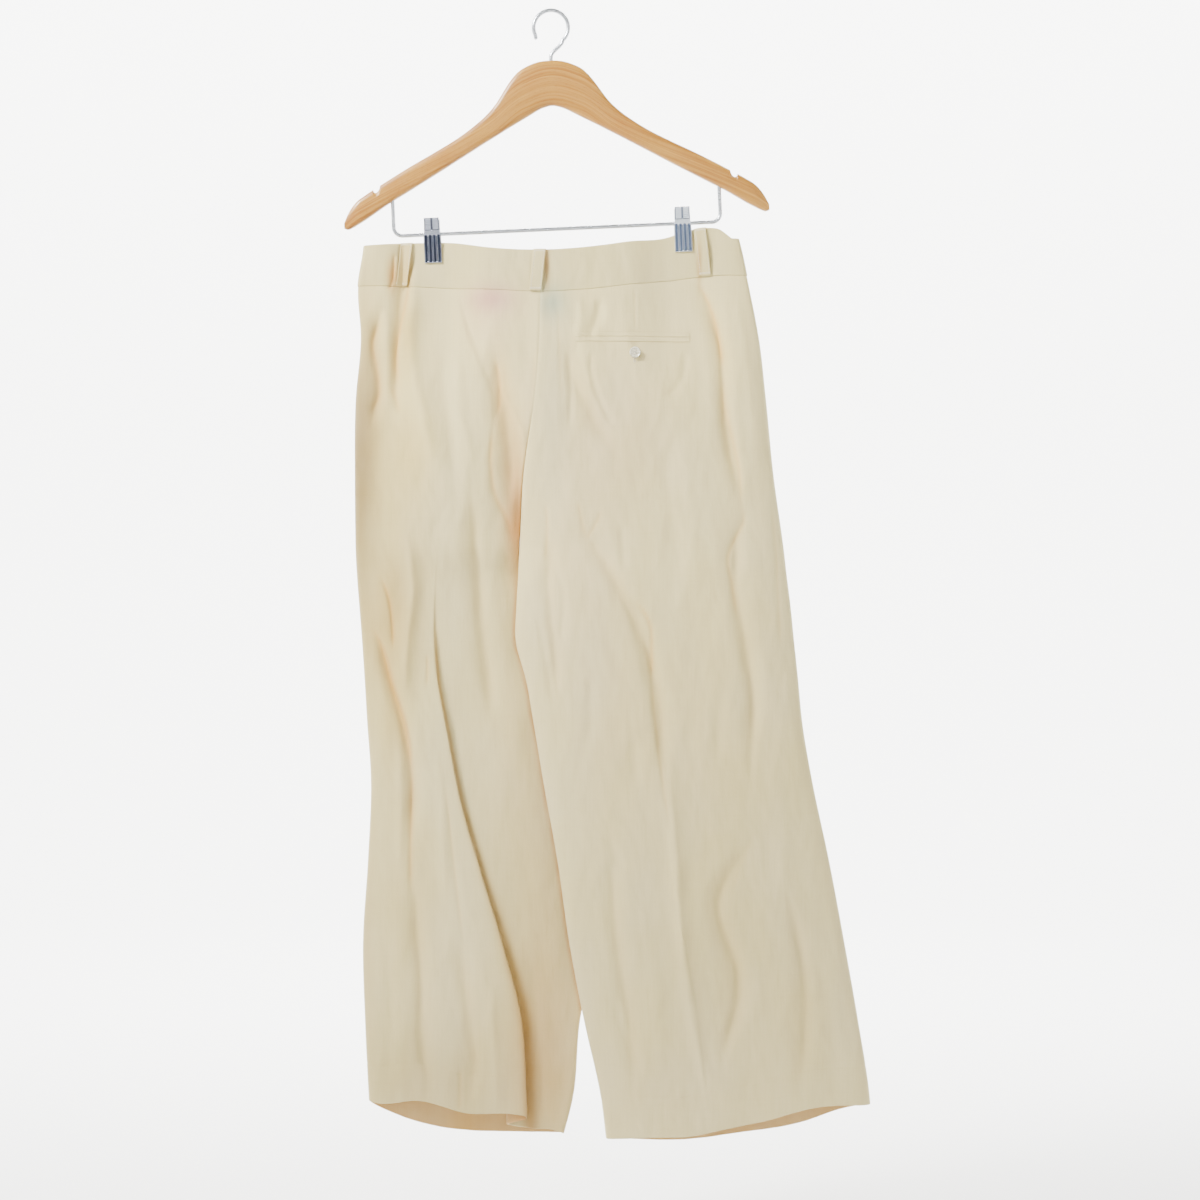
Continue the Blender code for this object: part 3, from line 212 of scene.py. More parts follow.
# Small creases over the main folds. Kinds: soft is a round ridge or trough,
# line is a sharp one, and step raises the cloth on one side of its line.
CREASES = {
    ("left", "back"): [
        # the gathers beside the left clip
        Crease("line", 2.2, -1.1, ((-154, 236), (-156, 262), (-156, 291))),
        Crease("line", 2.6, -1.3, ((-142, 240), (-150, 296), (-161, 361), (-158, 403))),
        Crease("line", 1.8, -1.2, ((-164, 250), (-164, 266), (-165, 280), (-170, 294))),
        Crease("soft", 1.8, 0.8, ((-161, 254), (-161, 268), (-163, 282))),
        Crease("line", 2.0, -0.7, ((-148, 238), (-150, 262), (-152, 288))),
        Crease("step", 3.0, 0.9, ((-146, 262), (-149, 300), (-156, 350))),
        # the left hip
        Crease("line", 3.0, -1.2, ((-174, 317), (-186, 345), (-181, 375), (-181, 409), (-194, 428))),
        Crease("line", 2.4, -0.8, ((-165, 392), (-161, 406), (-156, 422))),
        Crease("soft", 6.0, 1.0, ((-177, 300), (-170, 340), (-169, 380), (-172, 420))),
        Crease("soft", 7.0, -1.1, ((-112, 330), (-110, 400), (-100, 470), (-96, 540))),
        Crease("soft", 6.0, 0.9, ((-98, 350), (-92, 420), (-82, 480))),
        # the left dart and the valley into the crotch
        Crease("soft", 1.6, -0.4, ((-96, 291), (-90, 317), (-82, 339), (-73, 361))),
        Crease("step", 3.5, -1.3, ((-96, 300), (-84, 345), (-72, 372), (-60, 406), (-60, 442))),
        Crease("line", 3.2, -1.5, ((-60, 430), (-62, 476), (-57, 508), (-46, 530), (-38, 562))),
        Crease("line", 2.2, -1.2, ((-59, 361), (-54, 381), (-53, 400), (-55, 427))),
        Crease("line", 1.8, 0.9, ((-54, 365), (-46, 404), (-31, 436), (-22, 458))),
        Crease("soft", 5.0, -1.2, ((-34, 440), (-32, 480), (-32, 525), (-34, 560))),
        # down the left leg
        Crease("soft", 5.0, -0.8, ((-84, 505), (-77, 578), (-74, 644), (-66, 700), (-59, 750))),
        Crease("line", 2.2, -1.7, ((-177, 590), (-169, 612), (-165, 640), (-164, 668))),
        Crease("line", 2.0, -1.0, ((-129, 670), (-128, 686), (-129, 704))),
        Crease("step", 3.2, 2.2, ((-192, 636), (-182, 650), (-166, 704), (-152, 746), (-144, 792))),
        Crease("line", 2.4, -2.4, ((-190, 638), (-180, 655), (-165, 705), (-151, 748), (-144, 800))),
        Crease("line", 2.8, -1.4, ((-144, 780), (-145, 826), (-146, 880), (-146, 926))),
        Crease("soft", 5.0, -1.0, ((-146, 920), (-139, 968), (-134, 1006), (-136, 1064), (-124, 1130))),
        Crease("soft", 5.0, 0.8, ((-159, 720), (-156, 800), (-157, 900))),
        Crease("soft", 6.0, 0.9, ((-118, 760), (-112, 850), (-108, 940))),
        Crease("line", 2.2, -0.7, ((-110, 800), (-104, 860), (-96, 930), (-90, 980))),
        Crease("line", 2.4, -0.8, ((-94, 1100), (-94, 1125), (-95, 1148))),
        Crease("soft", 5.0, 0.9, ((-62, 1010), (-60, 1060), (-56, 1120), (-55, 1150))),
        Crease("soft", 6.0, -0.7, ((-172, 960), (-168, 1040), (-170, 1120))),
        Crease("soft", 5.0, -0.8, ((-20, 1000), (-12, 1080), (-8, 1160))),
        Crease("line", 1.6, -0.5, ((-16, 350), (-18, 390), (-22, 428))),
    ],
    ("right", "back"): [
        # the right hip and the side fold
        Crease("line", 2.6, -1.5, ((150, 279), (160, 295), (170, 320), (176, 347), (180, 378))),
        Crease("line", 3.0, -0.9, ((180, 375), (181, 414), (190, 450), (196, 480), (199, 530))),
        Crease("line", 2.6, -1.1, ((199, 512), (200, 536), (191, 553), (185, 568), (189, 600), (195, 640))),
        Crease("soft", 5.0, -0.8, ((195, 640), (204, 680), (213, 722), (208, 778), (208, 820))),
        Crease("step", 4.0, 1.0, ((170, 310), (182, 380), (192, 450), (201, 520))),
        Crease("line", 2.2, -0.6, ((229, 505), (235, 566), (237, 610), (240, 675))),
        Crease("soft", 6.0, 0.9, ((196, 300), (205, 380), (214, 460))),
        Crease("soft", 6.0, -0.8, ((50, 300), (51, 318), (48, 336))),
        Crease("soft", 3.0, -0.9, ((17, 350), (20, 380), (21, 414), (19, 444))),
        Crease("soft", 3.4, -1.1, ((42, 352), (43, 381), (51, 407), (70, 442))),
        Crease("step", 4.0, 0.8, ((24, 320), (30, 356), (42, 400), (60, 440))),
        Crease("soft", 4.0, -0.9, ((140, 352), (138, 380), (126, 400), (112, 410))),
        Crease("soft", 4.0, -0.9, ((50, 302), (49, 318), (44, 332), (40, 346))),
        Crease("soft", 5.0, 0.8, ((30, 300), (32, 322), (28, 344))),
        Crease("line", 1.0, -0.5, ((87, 287), (87.5, 310), (88, 336))),
        # centre seam's two pressed edges
        Crease("line", 1.6, -0.5, ((7, 298), (9, 350), (12, 416))),
        # the pressed crease that wanders down the right leg
        Crease("line", 1.5, 0.9, ((25, 540), (37, 553), (46, 568), (67, 591), (79, 613), (93, 643))),
        Crease("step", 3.0, -1.1, ((79, 605), (93, 642), (100, 668), (107, 732), (116, 800))),
        Crease("line", 2.4, -1.3, ((84, 611), (96, 626), (103, 640), (105, 668), (105, 700))),
        Crease("line", 1.8, -0.8, ((104, 690), (109, 745), (116, 800), (124, 858))),
        Crease("line", 1.8, 0.7, (
            (118, 820), (129, 902), (138, 975), (150, 1041), (160, 1126), (169, 1170),
        )),
        Crease("line", 2.2, -0.7, ((28, 511), (32, 530), (37, 552))),
        Crease("line", 2.2, -0.7, ((54, 521), (46, 538), (37, 553))),
        Crease("soft", 4.0, -0.7, ((73, 533), (75, 560), (77, 586))),
        Crease("line", 2.0, -0.9, ((-6, 511), (-4, 530), (-4, 551), (-6, 578))),
        Crease("soft", 4.0, -0.8, ((2, 573), (10, 594), (14, 615), (12, 642), (7, 668))),
        Crease("soft", 3.5, -0.7, ((-14, 626), (-8, 660), (-2, 694), (3, 726))),
        Crease("soft", 6.0, -0.8, ((42, 690), (41, 725), (43, 762))),
        Crease("soft", 6.0, -0.8, ((87, 755), (86, 780), (88, 806))),
        Crease("soft", 7.0, -0.8, ((176, 700), (175, 740), (177, 785))),
        Crease("line", 3.0, -0.4, ((212, 856), (204, 874), (196, 892), (189, 920))),
        Crease("soft", 4.0, -0.5, (
            (169, 916), (178, 950), (194, 990), (198, 1014), (188, 1072), (170, 1112),
        )),
        Crease("soft", 4.5, -0.7, ((66, 1030), (77, 1068), (90, 1100))),
        Crease("soft", 5.0, -0.7, ((60, 855), (66, 875), (75, 898))),
        Crease("soft", 5.0, -0.7, ((245, 915), (253, 955), (264, 1000), (265, 1030))),
        Crease("soft", 9.0, 0.8, ((140, 430), (146, 520), (150, 620))),
        Crease("soft", 9.0, -0.7, ((118, 440), (124, 520), (130, 600))),
        Crease("soft", 9.0, 0.8, ((228, 760), (240, 860), (256, 960))),
        Crease("soft", 8.0, -0.7, ((276, 980), (290, 1060), (300, 1130))),
        Crease("soft", 8.0, 0.7, ((96, 930), (108, 1020), (118, 1110))),
    ],
    ("left", "front"): [
        Crease("line", 2.4, -1.1, ((-150, 240), (-148, 290), (-150, 350))),
        Crease("line", 2.0, -0.8, ((-136, 240), (-138, 280), (-142, 330))),
        Crease("soft", 6.0, 1.0, ((-170, 300), (-168, 360), (-172, 430))),
        Crease("line", 2.6, -1.0, ((-54, 400), (-46, 460), (-36, 520), (-32, 560))),
        Crease("soft", 7.0, -1.0, ((-112, 330), (-106, 430), (-110, 540))),
        Crease("line", 2.4, -0.9, ((-72, 690), (-84, 760), (-96, 830), (-102, 920))),
        Crease("soft", 6.0, 0.9, ((-130, 600), (-126, 720), (-132, 860))),
        Crease("soft", 6.0, -0.9, ((-30, 900), (-40, 1000), (-50, 1120))),
        Crease("line", 2.2, -0.7, ((-156, 760), (-160, 860), (-154, 960))),
        Crease("soft", 6.0, 0.8, ((-120, 980), (-118, 1060), (-122, 1140))),
    ],
    ("right", "front"): [
        Crease("line", 2.4, -1.0, ((150, 275), (160, 310), (170, 360), (176, 410))),
        Crease("soft", 6.0, 0.9, ((190, 300), (204, 390), (212, 470))),
        Crease("line", 2.4, -1.0, ((24, 520), (44, 590), (66, 660), (84, 730))),
        Crease("step", 3.5, 1.0, ((30, 530), (60, 640), (88, 750), (108, 870))),
        Crease("soft", 7.0, -0.9, ((126, 420), (140, 540), (150, 660))),
        Crease("line", 1.8, 0.7, ((120, 740), (134, 880), (150, 1000), (172, 1150))),
        Crease("soft", 6.0, -0.9, ((214, 640), (222, 760), (234, 880))),
        Crease("soft", 6.0, -0.8, ((76, 900), (92, 1000), (102, 1110))),
        Crease("line", 2.2, -0.7, ((196, 930), (206, 1020), (212, 1110))),
    ],
}
CREASE_ENDS = 0.22       # share of a crease's length over which each end dies out
CREASE_SCALE = 1.6
FOLD_CRISP = 0.35
FOLD_CRISP_NARROW = 6    # how much narrower a fold's crisp middle is
FOLD_ENDS = 0.25
END_CLEAR = 1            # folds and creases start this far beyond their paths
LINE_BLUNT = 0.06        # keeps a line from being a knife edge
LINE_SHARP = 1.25
STEP_SHARP = 1.6
STEP_RUN_OUT = 5         # widths over which a step's raised side comes down
CREASE_QUIET = 5         # creases die out this near to a seam

Wave = namedtuple("Wave", "height wide tall turn")
# The slack of plain cloth: long shallow waves, each a little out of true.
SLACK = [
    Wave(0.90, 128.0, 330.0, 0.3),
    Wave(0.62, 76.0, 190.0, 1.9),
    Wave(0.40, 47.0, 118.0, 4.1),
    Wave(0.34, 27.0, 70.0, 2.6),
    Wave(0.20, 15.0, 37.0, 5.2),
]
SLACK_SHIFT = {"left": 0.0, "right": 2.2, "back": 0.0, "front": 3.4}
WANDER = (1.6, 3.1)      # how far and how often a wave wanders along its length
LEAN = (1.2, 2.3)        # the same for the rise and fall across it
SLACK_PLAIN = 0.35       # share of a wave's height that runs the whole way down

Tone = namedtuple("Tone", "x down wide tall colour strength")
# Painted light and shade in the cloth's colour: warm painted bounce light in the
# deep folds and the crotch valley, painted shade down the left side, over the
# thigh and towards the hems, painted shadow lines at the edges of two belt loops,
# and a few pinkish and bluish grey patches near the waist and the centre seam.
TONES = {
    ("left", "back"): [
        # warm painted bounce light and painted shade in the crotch valley and the folds
        Tone(-34, 540, 13, 50, "#CF9E6C", 0.9),
        Tone(-38, 480, 15, 60, "#D6B68C", 0.55),
        Tone(-52, 405, 9, 44, "#D5BD91", 0.5),
        Tone(-150, 330, 9, 60, "#C1B280", 0.6),
        Tone(-166, 276, 5, 17, "#D1A775", 0.8),
        Tone(-190, 420, 18, 110, "#C6B585", 0.5),
        Tone(-150, 470, 34, 80, "#D5C798", 0.5),
        Tone(-176, 640, 26, 60, "#D1C18F", 0.4),
        Tone(-165, 740, 20, 90, "#CDBD8A", 0.4),
        Tone(-150, 900, 30, 130, "#D3C69F", 0.3),
        Tone(-14, 860, 44, 220, "#D2B690", 0.3),
        Tone(-8, 1100, 40, 110, "#C4A27A", 0.6),
        Tone(-61, 301, 24, 15, "#CDA9CD", 0.85),
        Tone(-70, 325, 28, 34, "#E3D6E2", 0.5),
        Tone(-20, 440, 9, 120, "#DEDBE9", 0.5),
        # painted shade down the left side, over the thigh and at the hem
        Tone(-203, 470, 15, 170, "#A2967C", 0.9),
        Tone(-198, 900, 13, 260, "#BCB097", 0.7),
        Tone(-192, 460, 16, 120, "#948972", 0.6),
        Tone(-156, 612, 30, 75, "#BAA987", 0.5),
        Tone(-125, 1120, 90, 60, "#B9B1A6", 0.7),
    ],
    ("right", "back"): [
        Tone(1, 305, 16, 18, "#A2B8D2", 0.85),
        Tone(4, 390, 18, 100, "#D3D8EB", 0.6),
        Tone(30, 600, 40, 130, "#DEDAE8", 0.5),
        Tone(70, 720, 34, 120, "#D1C9C6", 0.25),
        Tone(110, 1120, 70, 50, "#D1CACA", 0.25),
        Tone(70, 450, 60, 70, "#D0C8D0", 0.55),
        # painted shadow lines at the edges of the centre and right back belt loops
        Tone(-4, 266, 3, 24, "#B9915F", 0.8),
        Tone(155, 262, 2.5, 24, "#B9915F", 0.7),
        Tone(210, 1060, 130, 150, "#D8D4D0", 0.6),
        Tone(160, 780, 90, 130, "#DAD4C8", 0.4),
    ],
    ("left", "front"): [
        Tone(-34, 500, 14, 60, "#D4AF81", 0.6),
        Tone(-160, 500, 30, 120, "#D2C59C", 0.4),
    ],
    ("right", "front"): [
        Tone(60, 640, 26, 110, "#D2C5A1", 0.3),
        Tone(180, 800, 60, 200, "#D4CCB5", 0.3),
    ],
}
LOWER_SHADE = 0.24       # painted shade: the legs get darker towards the hems
LOWER_SHADE_DOWN = (330, 1080)
INSIDE_SHADE_COLOUR = "#D6B896"  # painted shade on the cloth's inner side, warm as with bounced light
LAP_SHADOW_COLOUR = "#CC9A68"   # painted shadow on the left leg where the right leg lies over it
LAP_SHADOW_STRENGTH = 0.75
LAP_WIDE = 2.2
LAP_AWAY = 0.8
LAP_DOWN = (560, 640)
PLEAT_SHADOW_COLOUR = "#B99A5E"  # painted shadow under the deep fold
PLEAT_SHADOW_STRENGTH = 0.7
PLEAT_TONE_WIDE = 5.0
PLEAT_TONE_AWAY = 2.0
PLEAT_TONE_DOWN = (600, 690)
PLEAT_TONE_FIRST = 0.4   # its width at the top, and what it gains on the way down
PLEAT_TONE_GAIN = 1.1
PLEAT_GAIN_DOWN = (700, 1080)
TONE_PLAIN = "#E0E0E0"   # a tone of this grey changes nothing
SIDES_PART = -11         # x where the left and right tones part
FOLD_WARMTH = "#F0CF94"  # light that bounces in a fold comes out this tone
FOLD_WARMTH_DEPTH = 5.0
CREASE_WARMTH_DEPTH = 1.5
TROUGH_WARMTH = 0.16
CREASE_WARMTH = 0.5
TIGHT_POWER = 1.3

# ---- grid of the cloth ---------------------------------------------------------------
PANEL_ROWS = 236
PLAIN_COLUMNS = {("left", "front"): 128, ("right", "back"): 168, ("right", "front"): 140}
PLEAT_UNDER = 44
PLEAT_FOLD = 64
PLEAT_OUTER = 84
SEAM_DIP = 0.45          # how far cloth sinks into a seam
WAIST_DIP = 0.10
SEAM_WIDTH = 1.5
SEAM_SHARES = (0.0012, 0.003, 0.0055)    # extra columns beside a seam
WAIST_SHARES = (0.0015, 0.003, 0.005)    # extra rows under the waist seam
HEM_ROWS = (0.2, 0.5, 1.0, 2.2, 38.6, 39.4, 40.2, 41.0)  # extra rows above the hem
LEG_LENGTH = 590
HEM_STEP = 0.8           # over which the turned up layer starts
HEM_PRESSED = 0.22       # depth and width of the line that the hem's edge presses
HEM_PRESSED_WIDE = 1.6
CENTRE_SEAM_END = (60, 15)   # below the crotch

# ---- small pieces --------------------------------------------------------------------
Loop = namedtuple("Loop", "name face top_x bottom_x")
LOOPS = [
    Loop("belt_loop_centre_back", "back", -11.5, -16.0),
    Loop("belt_loop_left_back", "back", -151.0, -156.0),
    Loop("belt_loop_right_back", "back", 155.5, 161.0),
    Loop("belt_loop_left_front", "front", -98.0, -99.0),
    Loop("belt_loop_right_front", "front", 101.0, 103.0),
]
LOOP_WIDTH = 13.0
LOOP_CLOTH = 1.2
LOOP_CLEAR = 0.7
LOOP_RISE = 2.4
LOOP_LONG = 42
LOOP_FROM = 0.01         # a loop's ends, as shares of the waistband's height
LOOP_SPAN = 0.96
LOOP_ARCH = 0.7          # the lower, the fuller the arch
LOOP_STITCHES_AT = 0.74  # of its half width
LOOP_GROOVE = 0.18
LOOP_GROOVE_WIDE = 0.07
BAND_SEAM_ROUND = 0.8
WELT_LEFT = 25.4
WELT_RIGHT = 144.6
WELT_TOP = 335.5
WELT_HEIGHT = 5.0
WELT_CLOTH = 0.6
WELT_PROUD = 0.1
WELT_GAP = 0.3
PATCH_CLEAR = 0.2
FLY_LEFT = -13.0
FLY_WIDTH = 38.0
FLY_TOP = 294.3
FLY_BOTTOM = 470.0
FLY_ROUND_FROM = 0.74
FLY_TOE = 0.25
FLY_CLOTH = 1.0
FLY_STITCH_IN = 6.0      # its stitching runs this far inside its edge
TAB_LEFT = -16.0
TAB_RIGHT = 30.0
TAB_CLOTH = 1.2
TAB_CLEAR = 0.25
TAB_FROM = 0.03          # its edges, as shares of the waistband's height
TAB_SPAN = 0.94
TAB_LONG = 46
TAB_TALL = 42
BUTTON_RADIUS = 6.0
BUTTON_THICK = 2.6
BUTTON_RIM = 1.4
BUTTON_DISH = 0.7
BUTTON_STAND = 1.2
BUTTON_TURNS = 48
EYE_RADIUS = 0.8         # the button's four holes
EYE_OUT = 1.7
EYE_ANGLES = (50, 130, 230, 310)
THREAD_APART = 0.28      # half the distance between the threads of a pair
THREAD_PROUD = 0.25
THREAD = 0.34            # radius of a sewing thread, drawn thicker than it is to show
POCKET_BUTTON_X = 87.8
POCKET_BUTTON_DOWN = 357.5
WAIST_BUTTON_X = 4.0
BUTTONHOLE_LONG = 15.0
BUTTONHOLE_BELOW = 2.5   # its middle, below the button's
BUTTONHOLE_LEFT = 0.6
BUTTONHOLE_HALF = 0.7
STITCH_LONG = 2.4
STITCH_SPACING = 3.1
STITCH_PROUD = 0.15
BAR_TACK_SPACING = 0.75
BAR_TACK_LONG = 1.3
BAR_TACKS_AT = (0.035, 0.965)    # shares down a belt loop
BAR_TACK_APART = 0.022
BUTTONHOLE_STITCH = (0.7, 1.0, 0.42)     # spacing, length and radius

# ---- hanger --------------------------------------------------------------------------
TILT = math.radians(2.55)
HANGER_X = 6.3
HANGER_DOWN = 217.25
WOOD_DEPTH = 12.0
NOTCH_U = 187.0
NOTCH_HALF = 3.5
NOTCH_DEEP = 5.0

ArmPoint = namedtuple("ArmPoint", "u top bottom")
ARM = [
    ArmPoint(0, 167.0, 120.0),
    ArmPoint(12, 166.0, 116.5),
    ArmPoint(24, 162.0, 110.0),
    ArmPoint(35, 155.5, 104.0),
    ArmPoint(43, 146.5, 99.6),
    ArmPoint(50, 136.5, 95.8),
    ArmPoint(58, 124.5, 91.2),
    ArmPoint(68, 113.5, 85.6),
    ArmPoint(82, 102.0, 77.5),
    ArmPoint(98, 91.0, 68.3),
    ArmPoint(122, 77.5, 54.3),
    ArmPoint(150, 62.8, 38.4),
    ArmPoint(178, 47.0, 22.6),
    ArmPoint(200, 34.0, 8.6),
    ArmPoint(208, 28.5, 4.0),
    ArmPoint(214, 22.0, 0.8),
    ArmPoint(219, 14.0, -0.8),
    ArmPoint(222.5, 6.5, 0.5),
]
ARM_STATIONS = 150
WOOD_CORNER = 3.4        # power of the rounded section
WOOD_SIDES = 44
TIP_THINNER = 0.35
TIP_FROM = (205, 224)    # where the arms get thinner towards their tips
GRAIN_FOLLOWS = 0.82     # how much the grain follows an arm's slope
WIRE_RADIUS = 2.1
BAR_U = 171.0
BAR_V = -9.5
BAR_CORNER = 9.0
BAR_INTO_WOOD = 6.0
HOOK_RADIUS = 2.1
HOOK_INSIDE = 16.0
HOOK_FOOT_DOWN = 62.0
HOOK_STEM_DOWN = 46.5
HOOK_START_ANGLE = -48.0
HOOK_END_ANGLE = 205.0
HOOK_TIP_LENGTH = 4.4
HOLE_CLEAR = 0.3
HOOK_HOLE_FROM = -40     # heights at which the drills start, outside the wood
BAR_HOLE_FROM = 5

CLIP_U = 131.0
CLIP_PLATE = 1.2
ClipPoint = namedtuple("ClipPoint", "v inside width")
CLIP = [
    ClipPoint(7.0, 8.6, 15.5),
    ClipPoint(0.0, 6.0, 15.8),
    ClipPoint(-6.0, 4.6, 16.5),
    ClipPoint(-12.0, 4.1, 17.6),
    ClipPoint(-22.0, 3.9, 18.0),
    ClipPoint(-29.0, 3.4, 18.0),
    ClipPoint(-33.0, 3.2, 18.0),
    ClipPoint(-39.5, 3.2, 18.0),
]
FLUTES = 4
FLUTE_DEEP = 0.9
RIB_PAINTED_DARK = 0.85          # painted reflection: the finger end's ribs are coloured as dark as the flutes
FLUTES_FROM = -9.5       # the flutes' round tops, in the hanger's own height
GRIP_SPACING = 2.0       # of the small teeth on the finger end
GRIP_DEEP = 0.35
GRIP_BANDS = (0.95, 0.7)     # the toothed columns' edges, as shares
RIB_BANDS = (0.75, 1.0)
RIB_PAINTED_DARK_BANDS = (0.55, 0.9)
FINGER_FROM = (-6.5, -4.5)
FLUTE_ROUND = 2.2        # height of a flute's round top
FLUTE_RUN_IN = 1.2       # over which a flute gets to its depth
JAW_PROUD = 0.8          # of the jaw, over the finger end
RIB_PROUD = 0.9
PLATE_ROUND = 0.5        # of a plate's edges
PLATE_THIN = 0.5         # no part of a plate is thinner
PLATE_COLUMNS = 65
PLATE_ROWS = 120
SPRING_RADIUS = 2.85
SPRING_WIRE = 0.45
SPRING_LENGTH = 12.0
SPRING_TURNS = 11


# ---- curves and shapes ---------------------------------------------------------------
def ease(low, high, value):
    """Smooth step from 0 at low to 1 at high."""
    share = np.clip((value - low) / (high - low), 0, 1)
    return share * share * (3 - 2 * share)


def through(places, values, at):
    """Value at a place, on a smooth curve through the given points."""
    places = np.asarray(places, float)
    values = np.asarray(values, float)
    slopes = np.gradient(values, places)
    at = np.clip(at, places[0], places[-1])
    i = np.clip(np.searchsorted(places, at) - 1, 0, len(places) - 2)
    span = places[i + 1] - places[i]
    p = (at - places[i]) / span
    start = (1 + 2 * p) * (1 - p) ** 2 * values[i] + p * (1 - p) ** 2 * span * slopes[i]
    end = p * p * (3 - 2 * p) * values[i + 1] - p * p * (1 - p) * span * slopes[i + 1]
    return start + end


def column(table, key, value, at):
    """One named column of a table, read at any place along another."""
    return through([getattr(r, key) for r in table], [getattr(r, value) for r in table], at)


def outward(face):
    """The sign of depth that leads out of the garment."""
    return -1 if face == "back" else 1


def trunk_share(down):
    """1 where the trunk is one hollow, 0 from the crotch down."""
    return ease(CROTCH_DOWN, BODY_DOWN, down) ** TRUNK_BLEND


def pinch(x, down):
    """How much the clips hold front and back together."""
    near_clip = 0
    for u in (-CLIP_U, CLIP_U):
        clip_x = HANGER_X + u * math.cos(TILT) + GRIP_BELOW * math.sin(TILT)
        near_clip = near_clip + ease(*GRIP_BESIDE, abs(x - clip_x))
    return near_clip * ease(*GRIP_DOWN, down)


def section(side, face, down):
    """A layer's cross-section at each level, from its inner edge to its side."""
    down = np.asarray(down, float)[:, None]
    inner = column(LEVELS, "down", side + "_inner", down)
    outer = column(LEVELS, "down", side + "_side", down)
    depth = column(LEVELS, "down", side + "_depth", down)
    bulge = column(LEVELS, "down", face + "_bulge", down)
    trunk = trunk_share(down)
    share = SHARES[None, :]
    width = abs(outer - inner)
    sharp = INNER_SHARPNESS[side, face]
    inside_half = (1 - np.clip(1 - 2 * share, 0, 1) ** sharp) ** (1 / sharp)
    side_half = (1 - np.clip(2 * share - 1, 0, 1) ** SIDE_SHARPNESS) ** (1 / SIDE_SHARPNESS)
    leg = np.where(share < 0.5, inside_half, side_half)
    whole = (1 - share ** TRUNK_SHARPNESS) ** (1 / TRUNK_SHARPNESS)
    rise = trunk * whole + (1 - trunk) * leg
    inner_turn = np.sqrt(1 - (1 - np.clip(share * width / EDGE_ROUND, 0, 1)) ** 2)
    side_turn = np.sqrt(1 - (1 - np.clip((1 - share) * width / EDGE_ROUND, 0, 1)) ** 2)
    turn = (trunk + (1 - trunk) * inner_turn) * side_turn
    half = EDGE_ROUND * turn + (bulge - EDGE_ROUND) * rise
    x = inner + (outer - inner) * share
    half = half - pinch(x, down) * np.clip(half - FLAT_HALF, 0, None)
    toward = outward(face)
    y = depth * (1 - share) + toward * half
    run = np.zeros_like(x)
    run[:, 1:] = np.cumsum(np.hypot(np.diff(x, axis=1), np.diff(y, axis=1)), axis=1)
    return x, y, run


def pick(run, at, values):
    """Read a value along each section at the given run of cloth."""
    i = np.clip((run < at[:, None]).sum(axis=1) - 1, 0, run.shape[1] - 2)
    rows = np.arange(len(at))
    start = run[rows, i]
    end = run[rows, i + 1]
    p = np.clip((at - start) / np.maximum(end - start, 1e-9), 0, 1)
    return values[rows, i] * (1 - p) + values[rows, i + 1] * p


def hem_of(side, face, s):
    """How far down the hem is, for shares across a panel."""
    shares, downs = zip(*HEMS[side, face])
    return through(shares, downs, s)


@lru_cache
def waist_places(side, face):
    """A layer's shares and where they come at the waist."""
    shares = np.linspace(0, 1, SAMPLES + 1)
    return shares, spread(side, face, shares, np.full(SAMPLES + 1, WAIST_MIDDLE_DOWN))[:, 0]


def waist_x(side, face, s):
    """Where a share of a layer comes at the waist."""
    shares, places = waist_places(side, face)
    return np.interp(s, shares, places)


def level_of(side, face, s, t):
    """How far down a panel's point is, for shares across and down it."""
    seam = column(WAIST, "x", "seam", waist_x(side, face, s)) + GAP / 2
    hem = hem_of(side, face, s)
    above = seam + (CROTCH_DOWN - seam) * t / CROTCH_SHARE
    below = CROTCH_DOWN + (hem - CROTCH_DOWN) * (t - CROTCH_SHARE) / (1 - CROTCH_SHARE)
    return np.where(t < CROTCH_SHARE, above, below)


def line_at(path, down):
    """Where a route runs, at the given levels."""
    return through([p[1] for p in path], [p[0] for p in path], down)


def off_line(path, x, down):
    """Distance to the right of a route, square to it."""
    places, downs = np.array(path, float).T
    lean = np.interp(down, downs, np.gradient(places, downs))
    return (x - line_at(path, down)) / np.sqrt(1 + lean * lean)


def fading(path, share, down):
    """1 beside a route, and less over the given share of it at either end."""
    top = path[0][1]
    bottom = path[-1][1]
    fade = share * (bottom - top)
    start = ease(top - END_CLEAR, top + fade, down)
    return start * ease(bottom + END_CLEAR, bottom - fade, down)


def fold_height(side, face, x, down):
    """Height of the main folds over the plain form, with crisper middles than
    the solids have."""
    height = np.zeros_like(x)
    for fold in FOLDS[side, face]:
        away = (x - line_at(fold.path, down)) / fold.width
        whole = np.exp(-away * away) + FOLD_CRISP * np.exp(-FOLD_CRISP_NARROW * away * away)
        height = height + fold.depth * fading(fold.path, FOLD_ENDS, down) * whole
    return height


def crease_height(side, face, x, down, kinds=("soft", "line", "step")):
    """Height of the small creases."""
    height = np.zeros_like(x)
    for crease in CREASES[side, face]:
        if crease.kind not in kinds:
            continue
        ends = fading(crease.path, CREASE_ENDS, down)
        away = off_line(crease.path, x, down) / crease.width
        if crease.kind == "soft":
            shape = np.exp(-away * away)
        elif crease.kind == "line":
            shape = np.exp(-np.sqrt(away * away + LINE_BLUNT) * LINE_SHARP)
        else:
            run_out = np.exp(-np.clip(away, 0, None) / STEP_RUN_OUT)
            shape = 0.5 * (1 + np.tanh(STEP_SHARP * away)) * run_out
        height = height + CREASE_SCALE * crease.depth * ends * shape
    return height


